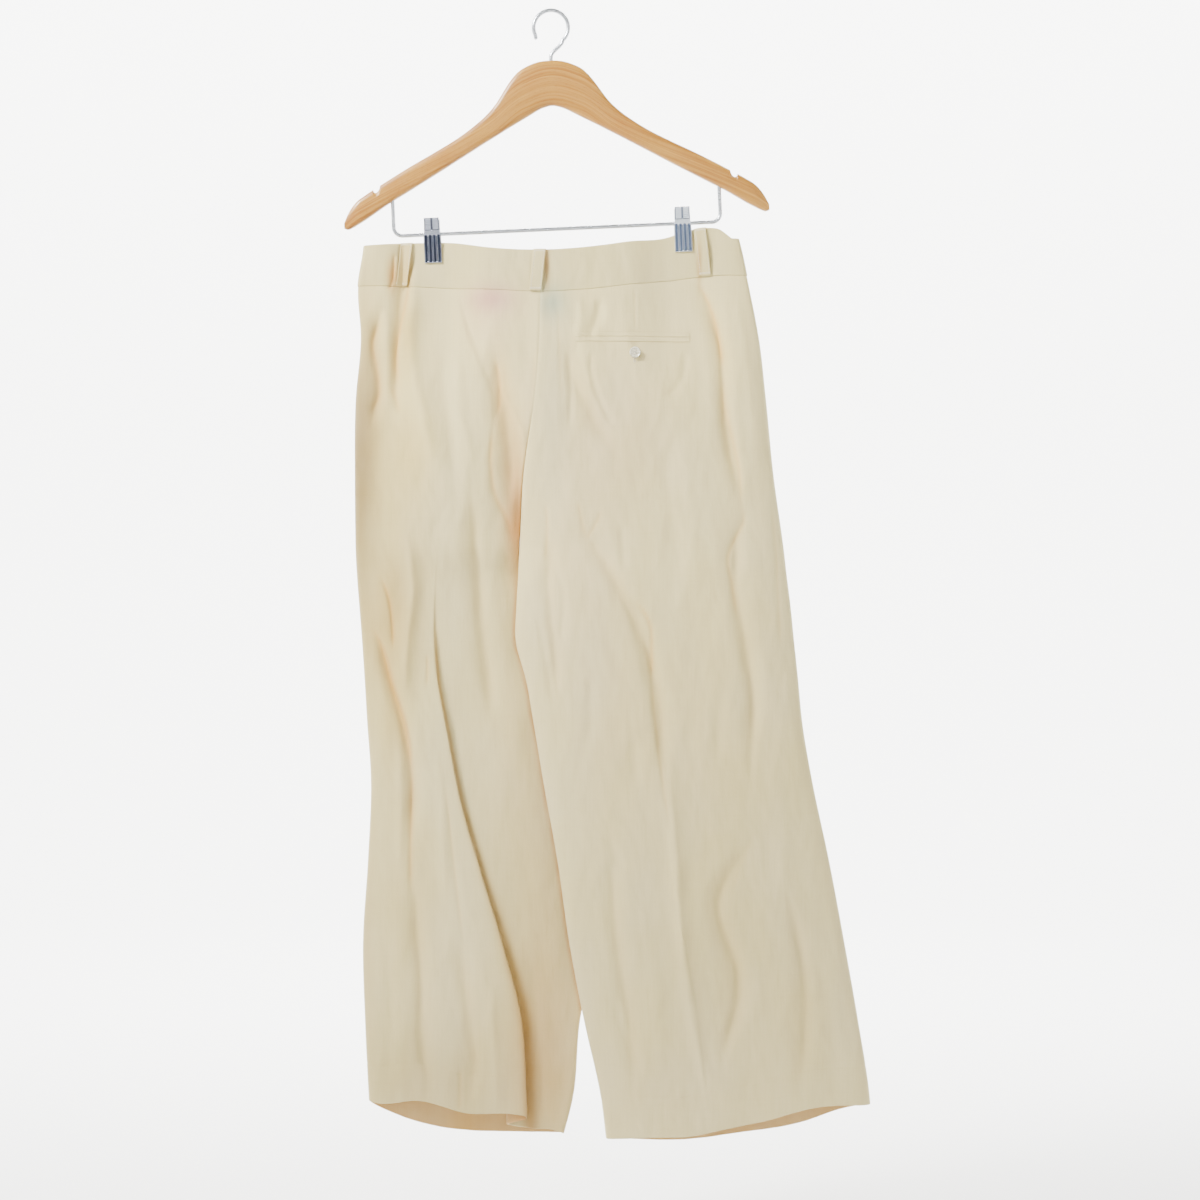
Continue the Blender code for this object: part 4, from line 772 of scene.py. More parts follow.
def slack_height(side, face, x, down):
    """The long shallow waves of slack cloth."""
    shift = SLACK_SHIFT[side] + SLACK_SHIFT[face]
    height = np.zeros_like(x)
    for wave in SLACK:
        wander = WANDER[0] * np.sin(down / wave.tall * WANDER[1] + wave.turn + shift)
        lean = LEAN[0] * np.sin(x / wave.wide * LEAN[1] + 2 * wave.turn - shift)
        across = np.sin(2 * math.pi * x / wave.wide + wander + 2 * wave.turn + shift)
        along = np.sin(2 * math.pi * down / wave.tall + lean + wave.turn)
        height = height + wave.height * (SLACK_PLAIN * across + (1 - SLACK_PLAIN) * across * along)
    return height


def spread(side, face, s, down, fine=False):
    """Point of a layer for shares s and levels down, before it gets its wall."""
    x, y, run = section(side, face, down)
    length = run[:, -1]
    tau = np.zeros_like(s)
    reach = step = fade = 0
    if (side, face) == ("left", "back"):
        reach = np.clip(column(PLEAT, "down", "reach", down), 0, None)
        step = np.clip(column(PLEAT, "down", "step", down), 0, None)
        turn = np.arccos(np.clip(PLEAT_HALF / np.maximum(reach * math.pi, 1e-6), 0, 1)) / math.pi
        edge = column(PLEAT, "down", "x", down)
        centre_x = edge - (reach * np.sin(math.pi * turn) - PLEAT_HALF * turn)
        centre_share = (centre_x - x[:, 0]) / (x[:, -1] - x[:, 0])
        centre = pick(np.tile(SHARES, (len(s), 1)), centre_share, run)
        tau = (s - PLEAT_CENTRE) / PLEAT_SPAN
        under = s / (PLEAT_CENTRE - PLEAT_SPAN) * (centre - PLEAT_HALF)
        over_share = (s - PLEAT_CENTRE - PLEAT_SPAN) / (1 - PLEAT_CENTRE - PLEAT_SPAN)
        over = centre + PLEAT_HALF + over_share * (length - centre - PLEAT_HALF)
        at = np.where(tau < -1, under, np.where(tau > 1, over, centre + PLEAT_HALF * tau))
        outside = np.where(tau < -1, centre - PLEAT_HALF - under, over - centre - PLEAT_HALF)
        fade = np.exp(-np.clip(np.where(abs(tau) > 1, outside, 0), 0, None) / PLEAT_FADE)
        tau = np.clip(tau, -1, 1)
    else:
        at = s * length
    at = GAP / 2 + at * (length - GAP) / length
    px = pick(run, at, x)
    py = pick(run, at, y)
    from_inner = abs(px - x[:, 0])
    from_side = abs(px - x[:, -1])
    quiet = ease(0, SEAM_FADE, from_inner) * ease(0, SEAM_FADE, from_side)
    toward = outward(face)
    height = quiet * fold_height(side, face, px, down)
    if fine:
        near = ease(0, CREASE_QUIET, from_inner) * ease(0, CREASE_QUIET, from_side)
        height = height + near * crease_height(side, face, px, down)
        height = height + quiet * (1 - pinch(px, down)) * slack_height(side, face, px, down)
    py = py + toward * height
    if (side, face) == ("left", "back"):
        px = px + reach * np.sin(math.pi * tau)
        first = np.tanh((tau - turn) / PLEAT_TURN)
        second = np.tanh((tau + turn) / PLEAT_TURN)
        py = py - quiet * fade * step * 0.5 * (first + second)
    return np.stack([px, py, -down], axis=1)


def panel(side, face, s, t):
    """Points of a leg panel's outer face, for shares across and down it."""
    return spread(side, face, s, level_of(side, face, s, t), fine=True)


def band(face, across, t, fine=True):
    """Points of the waistband: across runs -1 to 1 from the left side seam to
    the right one, t runs 0 to 1 down it."""
    across = np.asarray(across, float)
    points = np.zeros((len(across), 3))
    for side, chosen in (("left", across < 0), ("right", across >= 0)):
        s = abs(across[chosen])
        x = waist_x(side, face, s)
        top = column(WAIST, "x", "top", x)
        seam = column(WAIST, "x", "seam", x) - GAP / 2
        points[chosen] = spread(side, face, s, top + (seam - top) * t[chosen], fine=fine)
    return points


def sign_of(side, face):
    """The sign that turns a panel's normals out of the garment."""
    return 1 if (side == "left") == (face == "back") else -1


def across_at(face, x, t):
    """The waistband's across value at a place x and a share t down it."""
    acrosses = np.linspace(-1, 1, SAMPLES + 1)
    places = band(face, acrosses, np.full(SAMPLES + 1, float(t)), fine=False)[:, 0]
    order = np.argsort(places)
    return np.interp(x, places[order], acrosses[order])


def on_panel(side, face, x, down):
    """Points of a panel's outer face at given x and down."""
    x = np.asarray(x, float)
    down = np.asarray(down, float)
    shares = np.linspace(0, 1, SAMPLES + 1)
    found = np.zeros(len(x))
    for level in np.unique(np.round(down, 2)):
        here = abs(down - level) < 0.006
        line = spread(side, face, shares, np.full(SAMPLES + 1, level))
        order = np.argsort(line[:, 0])
        found[here] = np.interp(x[here], line[order, 0], shares[order])
    return spread(side, face, found, down, fine=True)


# ---- meshes --------------------------------------------------------------------------
def grid_normals(points, sign):
    """Unit normals of a grid of points, rows by columns by 3."""
    down = np.gradient(points, axis=0)
    along = np.gradient(points, axis=1)
    normal = np.cross(along, down) * sign
    return normal / np.maximum(np.linalg.norm(normal, axis=2), 1e-9)[..., None]


def new_object(name, data):
    """An object of some data, put in the scene."""
    made = bpy.data.objects.new(name, data)
    bpy.context.scene.collection.objects.link(made)
    return made


def new_piece(name, points, faces, finish, smooth_angle=50):
    """An object from points in millimetres and faces of four corners."""
    mesh = bpy.data.meshes.new(name)
    points = np.asarray(points, float) * MM
    faces = np.asarray(faces, np.int32)
    mesh.vertices.add(len(points))
    mesh.vertices.foreach_set("co", points.astype(np.float32).ravel())
    mesh.loops.add(faces.size)
    mesh.loops.foreach_set("vertex_index", faces.ravel())
    mesh.polygons.add(len(faces))
    mesh.polygons.foreach_set("loop_start", np.arange(0, faces.size, 4, dtype=np.int32))
    mesh.update(calc_edges=True)
    mesh.validate()
    mesh.shade_smooth()
    mesh.set_sharp_from_angle(angle=math.radians(smooth_angle))
    mesh.materials.append(finish)
    return new_object(name, mesh)


def wall_faces(rows, columns, sign):
    """Faces of a closed wall between two grids of points."""
    count = rows * columns
    place = np.arange(count).reshape(rows, columns)
    a = place[:-1, :-1].ravel()
    b = place[:-1, 1:].ravel()
    c = place[1:, 1:].ravel()
    d = place[1:, :-1].ravel()
    outer = np.stack([a, b, c, d], axis=1)
    inner = np.stack([d, c, b, a], axis=1) + count
    rim = np.concatenate([place[0, :], place[1:, -1], place[-1, -2::-1], place[-2:0:-1, 0]])
    after = np.roll(rim, -1)
    edge = np.stack([after, rim, rim + count, after + count], axis=1)
    faces = np.concatenate([outer, inner, edge])
    return faces if sign > 0 else faces[:, ::-1]


def wall_piece(name, points, sign, lift, wall, finish):
    """A closed wall of cloth on a grid of points: lift moves its outside out."""
    rows, columns = points.shape[:2]
    normal = grid_normals(points, sign)
    lift = np.broadcast_to(lift, (rows, columns))[..., None]
    wall = np.broadcast_to(wall, (rows, columns))[..., None]
    outer = points + normal * lift
    inner = outer - normal * wall
    both = np.concatenate([outer.reshape(-1, 3), inner.reshape(-1, 3)])
    return new_piece(name, both, wall_faces(rows, columns, sign), finish)


def rounded(distance, radius):
    """How far a surface has sunk at this distance from a rounded edge."""
    share = np.clip(1 - distance / radius, 0, 1)
    return radius * (1 - np.sqrt(1 - share * share))


def tube_piece(name, route, radius, finish, sides=24, ends="round"):
    """A round rod along points in millimetres."""
    points = np.asarray(route, float)
    ahead = np.gradient(points, axis=0)
    ahead /= np.linalg.norm(ahead, axis=1)[:, None]
    along_depth = abs(ahead[0][1]) > 0.9
    depth_axis = np.array([0.0, 0.0, 1.0]) if along_depth else np.array([0.0, 1.0, 0.0])
    radii = np.full(len(points), radius, float)
    if ends == "round":
        cap = np.array([0.30, 0.72, 0.95])
        offset = radius * (1 - np.sqrt(1 - cap[::-1] ** 2))
        first = [points[0] - ahead[0] * (radius * 0.9 - o) for o in offset[::-1]]
        last = [points[-1] + ahead[-1] * (radius * 0.9 - o) for o in offset]
        points = np.concatenate([first, points, last])
        ahead = np.concatenate([[ahead[0]] * 3, ahead, [ahead[-1]] * 3])
        radii = np.concatenate([radius * cap, radii, radius * cap[::-1]])
    rings = []
    for p, a, r in zip(points, ahead, radii):
        side_axis = depth_axis - a * (depth_axis @ a)
        side_axis /= np.linalg.norm(side_axis)
        up = np.cross(side_axis, a)
        turn = np.linspace(0, 2 * math.pi, sides, endpoint=False)
        rings.append(p + r * (np.outer(np.cos(turn), side_axis) + np.outer(np.sin(turn), up)))
    return ring_piece(name, rings, finish)


def ring_piece(name, rings, finish, smooth_angle=50):
    """A closed solid through rings of points, with flat ends."""
    sides = len(rings[0])
    mesh = bpy.data.meshes.new(name)
    bm = bmesh.new()
    made = [[bm.verts.new(Vector(p) * MM) for p in ring] for ring in rings]
    for near, far in zip(made, made[1:]):
        for j in range(sides):
            n = (j + 1) % sides
            bm.faces.new((near[j], near[n], far[n], far[j]))
    bm.faces.new(made[0])
    bm.faces.new(made[-1])
    bmesh.ops.recalc_face_normals(bm, faces=bm.faces[:])
    bm.to_mesh(mesh)
    bm.free()
    mesh.shade_smooth()
    mesh.set_sharp_from_angle(angle=math.radians(smooth_angle))
    mesh.materials.append(finish)
    return new_object(name, mesh)


def settle(piece):
    """Apply a piece's modifiers and leave a plain mesh."""
    bpy.context.view_layer.update()
    graph = bpy.context.evaluated_depsgraph_get()
    mesh = bpy.data.meshes.new_from_object(piece.evaluated_get(graph))
    piece.modifiers.clear()
    if piece.type == "MESH":
        piece.data = mesh
        return piece
    name = piece.name
    bpy.data.objects.remove(piece)
    return new_object(name, mesh)


def cut(piece, cutters):
    """Cut holes, and take the cutters away."""
    for cutter in cutters:
        hole = piece.modifiers.new("hole", "BOOLEAN")
        hole.operation = "DIFFERENCE"
        hole.solver = "EXACT"
        hole.object = cutter
    settle(piece)
    for cutter in cutters:
        bpy.data.objects.remove(cutter)


def drill(start, end, radius, finish):
    """A round cutter from start to end."""
    points = [np.array(start, float), np.array(end, float)]
    return tube_piece("cutter", points, radius, finish, sides=28, ends="flat")


# ---- colours and materials -----------------------------------------------------------
def colour(text):
    """A hex colour as light."""
    parts = [int(text[i:i + 2], 16) / 255 for i in (1, 3, 5)]
    light = [p / 12.92 if p <= 0.04045 else ((p + 0.055) / 1.055) ** 2.4 for p in parts]
    return (*light, 1.0)


def add_node(tree, kind, settings=None, values=None, links=None):
    """A node with its settings, its inputs' values and what is linked to them."""
    made = tree.nodes.new(kind)
    for key, value in (settings or {}).items():
        setattr(made, key, value)
    for key, value in (values or {}).items():
        made.inputs[key].default_value = value
    for key, source in (links or {}).items():
        tree.links.new(source, made.inputs[key])
    return made


def new_material(name, **values):
    """A material and its shader, with constant values on the shader's sockets."""
    made = bpy.data.materials.new(name)
    made.use_nodes = True
    shader = made.node_tree.nodes["Principled BSDF"]
    for key, value in values.items():
        shader.inputs[key.replace("_", " ")].default_value = value
    return made, made.node_tree, shader


def object_place(tree, scale, turn=(0, 0, 0)):
    """Object coordinates in millimetres, divided by the given sizes."""
    where = add_node(tree, "ShaderNodeTexCoord")
    per_size = tuple(1000 / size for size in scale)
    return add_node(
        tree,
        "ShaderNodeMapping",
        values={"Scale": per_size, "Rotation": turn},
        links={"Vector": where.outputs["Object"]},
    ).outputs["Vector"]


def mix_colour(tree, kind, share, first, second):
    """Two colours mixed. Each is a hex text or an output, share a number or one."""
    made = add_node(tree, "ShaderNodeMix", {"data_type": "RGBA", "blend_type": kind})
    for place, given in ((0, share), (6, first), (7, second)):
        if isinstance(given, str):
            made.inputs[place].default_value = colour(given)
        elif isinstance(given, (int, float)):
            made.inputs[place].default_value = given
        else:
            tree.links.new(given, made.inputs[place])
    return made.outputs[2]


def ranged(tree, source, low, high, to_low=0.0, to_high=1.0):
    """A number moved from one range to another and held inside it."""
    return add_node(
        tree,
        "ShaderNodeMapRange",
        values={1: low, 2: high, 3: to_low, 4: to_high},
        links={0: source},
    ).outputs[0]


def linen(name, base):
    """Undyed linen in plain weave, washed and pressed: matt and dry, with
    uneven yarns that show as fine upright streaks, and a soft bloom of fibres
    at grazing angles."""
    made, tree, shader = new_material(
        name, Roughness=0.88, Sheen_Weight=0.12, Sheen_Roughness=0.6, Specular_IOR_Level=0.25
    )
    # yarns are about 0.5 mm apart; drawn at 1.1 mm so that they show
    yarns = []
    for axis, sizes in (("X", (3.46, 60, 60)), ("Z", (60, 60, 3.46))):
        wave = add_node(
            tree,
            "ShaderNodeTexWave",
            {"wave_type": "BANDS", "bands_direction": axis},
            {"Scale": 1.0, "Distortion": 1.2, "Detail": 2.0, "Detail Scale": 1.5},
            {"Vector": object_place(tree, sizes)},
        )
        yarns.append(wave.outputs["Fac"])
    noises = []
    for sizes, detail, roughness in (
        ((1.8, 40, 46), 3.0, 0.6),
        ((30, 40, 1.9), 3.0, 0.6),
        ((70, 200, 150), 3.0, 0.5),
        ((9, 60, 34), 4.0, 0.55),
    ):
        noise = add_node(
            tree,
            "ShaderNodeTexNoise",
            values={"Scale": 1.0, "Detail": detail, "Roughness": roughness},
            links={"Vector": object_place(tree, sizes)},
        )
        noises.append(noise.outputs["Fac"])
    slub, cross_slub, cloud, crumple = noises
    # the tone brings in the painted light and shade worked out in tone_of
    tone = add_node(tree, "ShaderNodeAttribute", {"attribute_name": "tone"}).outputs["Color"]
    body = mix_colour(tree, "MULTIPLY", 1.0, base, tone)
    for source, low, high, most, kind, text in (
        (slub, 0.42, 0.75, 0.09, "MULTIPLY", "#CDBB92"),
        (cross_slub, 0.5, 0.8, 0.07, "MULTIPLY", "#D2C3A0"),
        (cloud, 0.35, 0.7, 0.16, "MIX", "#DBD0B4"),
    ):
        body = mix_colour(tree, kind, ranged(tree, source, low, high, 0.0, most), body, text)
    tree.links.new(body, shader.inputs["Base Color"])
    crossed = add_node(
        tree, "ShaderNodeMath", {"operation": "MULTIPLY"}, links={0: yarns[0], 1: yarns[1]}
    )
    links = {}
    for height, strength, distance in (
        (crossed.outputs[0], 0.16, 0.00025),
        (slub, 0.10, 0.0004),
        (crumple, 0.25, 0.0022),
    ):
        links["Height"] = height
        bump = add_node(
            tree, "ShaderNodeBump", values={"Strength": strength, "Distance": distance}, links=links
        )
        links["Normal"] = bump.outputs[0]
    tree.links.new(links["Normal"], shader.inputs["Normal"])
    return made


def sewing_thread():
    """Spun polyester thread: a shade lighter than the cloth, slightly glossy."""
    made, tree, shader = new_material("sewing thread", Roughness=0.55, Sheen_Weight=0.1)
    twist = add_node(
        tree,
        "ShaderNodeTexNoise",
        values={"Scale": 1.0, "Detail": 1.0},
        links={"Vector": object_place(tree, (0.5, 0.5, 0.5))},
    ).outputs["Fac"]
    tree.links.new(mix_colour(tree, "MIX", twist, "#D8CCAC", "#EAE2CB"), shader.inputs["Base Color"])
    return made


def pearl():
    """Pearly moulded polyester, as on a shirt button: glossy, with a cloudy
    lustre that shifts from cream to a cooler white."""
    made, tree, shader = new_material(
        "pearl button", Roughness=0.16, IOR=1.54, Coat_Weight=0.5, Coat_Roughness=0.08
    )
    cloud = add_node(
        tree,
        "ShaderNodeTexNoise",
        values={"Scale": 1.0, "Detail": 2.0, "Distortion": 1.6},
        links={"Vector": object_place(tree, (4.2, 4.2, 3.0))},
    ).outputs["Fac"]
    mixed = mix_colour(tree, "MIX", ranged(tree, cloud, 0.35, 0.65), "#B9B08C", "#E6E1CB")
    tree.links.new(mixed, shader.inputs["Base Color"])
    return made


def varnished_beech():
    """Pale beech, sanded and clear varnished: long fine grain with short darker
    flecks, and a glossy coat over it."""
    made, tree, shader = new_material(
        "varnished beech", IOR=1.5, Coat_Weight=0.18, Coat_Roughness=0.12
    )
    place = add_node(tree, "ShaderNodeAttribute", {"attribute_name": "grain"}).outputs["Vector"]
    # growth rings about 3 mm apart, cut lengthways
    along = add_node(
        tree, "ShaderNodeMapping", values={"Scale": (6.0, 150.0, 330.0)}, links={"Vector": place}
    ).outputs["Vector"]
    rings = add_node(
        tree,
        "ShaderNodeTexNoise",
        values={"Scale": 1.0, "Detail": 4.0, "Roughness": 0.6, "Distortion": 0.4},
        links={"Vector": along},
    ).outputs["Fac"]
    # flecks about 0.4 mm wide and 3 mm long
    fine = add_node(
        tree, "ShaderNodeMapping", values={"Scale": (300.0, 900.0, 1800.0)}, links={"Vector": place}
    ).outputs["Vector"]
    flecks = add_node(
        tree,
        "ShaderNodeTexNoise",
        values={"Scale": 1.0, "Detail": 2.0, "Roughness": 0.5},
        links={"Vector": fine},
    ).outputs["Fac"]
    broad = add_node(
        tree,
        "ShaderNodeTexNoise",
        values={"Scale": 22.0, "Detail": 2.0, "Roughness": 0.5},
        links={"Vector": place},
    ).outputs["Fac"]
    wood = mix_colour(tree, "MIX", ranged(tree, rings, 0.35, 0.68), "#9C6513", "#C0903A")
    flecked = ranged(tree, flecks, 0.58, 0.75, 0.0, 0.5)
    spotted = mix_colour(tree, "MULTIPLY", flecked, wood, "#B98A52")
    patches = ranged(tree, broad, 0.4, 0.7, 0.0, 0.35)
    aged = mix_colour(tree, "MULTIPLY", patches, spotted, "#E2BE84")
    tree.links.new(aged, shader.inputs["Base Color"])
    tree.links.new(ranged(tree, rings, 0.3, 0.7, 0.42, 0.30), shader.inputs["Roughness"])
    bump = add_node(
        tree,
        "ShaderNodeBump",
        values={"Strength": 0.12, "Distance": 0.0003},
        links={"Height": rings},
    )
    tree.links.new(bump.outputs[0], shader.inputs["Normal"])
    return made


def plated_wire():
    """Bright nickel plated steel wire, drawn: fine lines along it soften its
    reflections."""
    made, tree, shader = new_material("plated wire", Metallic=1.0)
    lines = add_node(
        tree,
        "ShaderNodeTexNoise",
        values={"Scale": 1.0, "Detail": 3.0},
        links={"Vector": object_place(tree, (14, 0.5, 0.5))},
    ).outputs["Fac"]
    tree.links.new(mix_colour(tree, "MIX", lines, "#B4B8BF", "#D3D6DB"), shader.inputs["Base Color"])
    tree.links.new(ranged(tree, lines, 0.3, 0.7, 0.2, 0.34), shader.inputs["Roughness"])
    return made


def chrome(name, hollow, dark, light):
    """Pressed sheet steel with polished chrome: sharp reflections, a few smears
    from handling."""
    made, tree, shader = new_material(name, Metallic=1.0)
    smear = add_node(
        tree,
        "ShaderNodeTexNoise",
        values={"Scale": 1.0, "Detail": 3.0},
        links={"Vector": object_place(tree, (5, 5, 9))},
    ).outputs["Fac"]
    plain = mix_colour(tree, "MIX", smear, dark, light)
    # painted reflection: the flutes and the finger end's ribs are coloured dark
    # slate, as if they mirrored a dark room, between bright ridges
    depth = add_node(tree, "ShaderNodeAttribute", {"attribute_name": "hollow"}).outputs["Fac"]
    tree.links.new(mix_colour(tree, "MIX", depth, plain, hollow), shader.inputs["Base Color"])
    tree.links.new(ranged(tree, smear, 0.3, 0.7, 0.09, 0.2), shader.inputs["Roughness"])
    return made


LINEN = linen("undyed linen", "#DECD91")
BAND_LINEN = linen("undyed linen, doubled", "#D3C388")
THREAD_FINISH = sewing_thread()
PEARL = pearl()
BEECH = varnished_beech()
WIRE = plated_wire()
# painted light and shade: the left clips take a darker copy of the chrome, as in shade, and the right clips
# and both springs a brighter copy, as in light
CHROME_PAINTED_SHADE = chrome("chrome, in shade", "#2A2F40", "#9298AC", "#C6CBD8")
CHROME_PAINTED_LIGHT = chrome("chrome, in light", "#55647F", "#C9D4E6", "#F2F6FB")


# ---- the tone of the cloth -----------------------------------------------------------
def tint_of(text):
    """A colour as factors on the cloth's own."""
    return np.array(colour(text)[:3]) / colour(TONE_PLAIN)[0]


def tone_of(side, face, x, down):
    """Colour factors of the cloth at given places, with painted light and shade:
    warm bounce light in folds and creases, shade towards the hems, shadow beside
    the lap and under the deep fold, and the patches of TONES.
    """
    factor = np.ones((len(x), 3))
    trough = np.clip(-fold_height(side, face, x, down) / FOLD_WARMTH_DEPTH, 0, 1)
    tight = np.clip(-crease_height(side, face, x, down, ("line",)) / CREASE_WARMTH_DEPTH, 0, 1)
    warm = np.array(colour(FOLD_WARMTH)[:3])
    share = TROUGH_WARMTH * trough + CREASE_WARMTH * tight ** TIGHT_POWER
    factor *= 1 + share[:, None] * (warm / warm.max() - 1)
    factor *= 1 - LOWER_SHADE * ease(*LOWER_SHADE_DOWN, down)[:, None]
    if (side, face) == ("left", "back"):
        # painted shadow on the left leg beside the inner edge of the right leg, which lies over it
        beside = x - column(LEVELS, "down", "right_inner", down) + LAP_AWAY
        lap_shadow = LAP_SHADOW_STRENGTH * np.exp(-((beside / LAP_WIDE) ** 2)) * ease(*LAP_DOWN, down)
        factor *= 1 + lap_shadow[:, None] * (tint_of(LAP_SHADOW_COLOUR) - 1)
        # painted shadow under the deep fold, widening towards the hem
        widening = PLEAT_TONE_FIRST + PLEAT_TONE_GAIN * ease(*PLEAT_GAIN_DOWN, down)
        under = x - column(PLEAT, "down", "x", down) - PLEAT_TONE_AWAY * widening
        shade = PLEAT_SHADOW_STRENGTH * np.exp(-((under / PLEAT_TONE_WIDE / widening) ** 2))
        shade = shade * ease(*PLEAT_TONE_DOWN, down)
        factor *= 1 + shade[:, None] * (tint_of(PLEAT_SHADOW_COLOUR) - 1)
    for tone in TONES[side, face]:
        away = ((x - tone.x) / tone.wide) ** 2 + ((down - tone.down) / tone.tall) ** 2
        share = tone.strength * np.exp(-away)
        factor *= 1 + share[:, None] * (tint_of(tone.colour) - 1)
    return factor


def paint(piece, side, face):
    """Give a cloth piece its tone at every point. Without a side, each half of
    it takes the tone of its own side."""
    mesh = piece.data
    places = np.zeros(len(mesh.vertices) * 3, np.float32)
    mesh.vertices.foreach_get("co", places)
    places = places.reshape(-1, 3) / MM
    tones = np.ones((len(places), 4), np.float32)
    on_left = places[:, 0] < SIDES_PART
    for one_side, chosen in (("left", on_left), ("right", ~on_left)):
        if side is not None:
            chosen = np.full(len(places), side == one_side)
        if chosen.any():
            tones[chosen, :3] = tone_of(one_side, face, places[chosen, 0], -places[chosen, 2])
    if side is not None:
        # the second half of a panel's or a welt's points is its inner side, which takes
        # painted shade, warm as with bounced light
        tones[len(tones) // 2:, :3] *= tint_of(INSIDE_SHADE_COLOUR)
    layer = mesh.color_attributes.new("tone", "FLOAT_COLOR", "POINT")
    layer.data.foreach_set("color", tones.ravel())


# ---- pieces of the garment -----------------------------------------------------------
def panel_shares(side, face):
    """Shares of a panel's columns, closer together in the deep fold and at seams."""
    if (side, face) == ("left", "back"):
        low = PLEAT_CENTRE - PLEAT_SPAN
        high = PLEAT_CENTRE + PLEAT_SPAN
        under = np.linspace(0, low, PLEAT_UNDER, endpoint=False)
        fold = np.linspace(low, high, PLEAT_FOLD, endpoint=False)
        outer = np.linspace(high, 1, PLEAT_OUTER)
        shares = np.concatenate([under, fold, outer])
    else:
        shares = np.linspace(0, 1, PLAIN_COLUMNS[side, face])
    extra = np.array(SEAM_SHARES)
    return np.unique(np.concatenate([shares, extra, 1 - extra]))


def panel_levels():
    """Shares down a panel, closer together at the waist seam and the hem."""
    plain = np.linspace(0, 1, PANEL_ROWS)
    hem = CROTCH_SHARE + (1 - CROTCH_SHARE) * (1 - np.array(HEM_ROWS) / LEG_LENGTH)
    return np.unique(np.concatenate([plain, WAIST_SHARES, hem]))


def make_panel(side, face):
    """One leg panel: a wall of cloth with its seams, and its hem turned up inside."""
    s, t = np.meshgrid(panel_shares(side, face), panel_levels())
    shape = s.shape
    points = panel(side, face, s.ravel(), t.ravel()).reshape(*shape, 3)
    down = -points[..., 2]
    to_hem = hem_of(side, face, s.ravel()).reshape(shape) - down
    wall = CLOTH + (HEM_CLOTH - CLOTH) * ease(HEM_DEPTH + HEM_STEP, HEM_DEPTH, to_hem)
    step = np.linalg.norm(np.diff(points, axis=1), axis=2)
    run = np.concatenate([np.zeros((shape[0], 1)), np.cumsum(step, axis=1)], axis=1)
    from_seam = np.minimum(run, run[:, -1:] - run)
    from_waist = down - down[0]
    dip = SEAM_DIP * np.exp(-((from_seam / SEAM_WIDTH) ** 2))
    seam_end = [CROTCH_DOWN + below for below in CENTRE_SEAM_END]
    at_centre = np.where(s < 0.5, ease(*seam_end, down), 0)
    points[..., 1] -= outward(face) * dip * at_centre
    dip = dip * (1 - at_centre)
    dip = np.maximum(dip, WAIST_DIP * np.exp(-((from_waist / SEAM_WIDTH) ** 2)))
    pressed = HEM_PRESSED * np.exp(-(((to_hem - HEM_DEPTH) / HEM_PRESSED_WIDE) ** 2))
    edge = rounded(np.clip(to_hem, 0, None), wall / 2)
    piece = wall_piece(
        f"{side}_leg_{face}_cloth",
        points,
        sign_of(side, face),
        -dip - pressed - edge,
        wall - 2 * edge,
        LINEN,
    )
    paint(piece, side, face)
    return piece


def make_band(name, face, low, high, columns):
    """A length of the waistband, rounded along its folded top edge."""
    across = np.linspace(low, high, columns)
    levels = np.array([0, 0.006, 0.014, 0.028, 0.05, *np.linspace(0.08, 0.93, 20), 0.97, 0.985, 1])
    u, t = np.meshgrid(across, levels)
    points = band(face, u.ravel(), t.ravel()).reshape(*u.shape, 3)
    from_top = -(points[..., 2] - points[0, :, 2])
    from_seam = points[..., 2] - points[-1, :, 2]
    edge = rounded(from_top, BAND_CLOTH / 2) + rounded(from_seam, BAND_SEAM_ROUND)
    sign = outward(face)
    piece = wall_piece(name, points, sign, BAND_LIFT - edge, BAND_CLOTH - 2 * edge, BAND_LINEN)
    paint(piece, None, face)
    return piece


def loop_surface(loop, u, t):
    """Points of a belt loop's inside: u runs -1 to 1 across, t 0 to 1 down."""
    centre = loop.top_x + (loop.bottom_x - loop.top_x) * t
    sewn = LOOP_FROM + LOOP_SPAN * t
    across = np.zeros(len(u))
    for level in np.unique(t):
        here = t == level
        places = centre[here] + u[here] * LOOP_WIDTH / 2
        across[here] = across_at(loop.face, places, LOOP_FROM + LOOP_SPAN * level)
    points = band(loop.face, across, sewn, fine=False)
    points[:, 1] += outward(loop.face) * LOOP_RISE * np.sin(math.pi * t) ** LOOP_ARCH
    return points


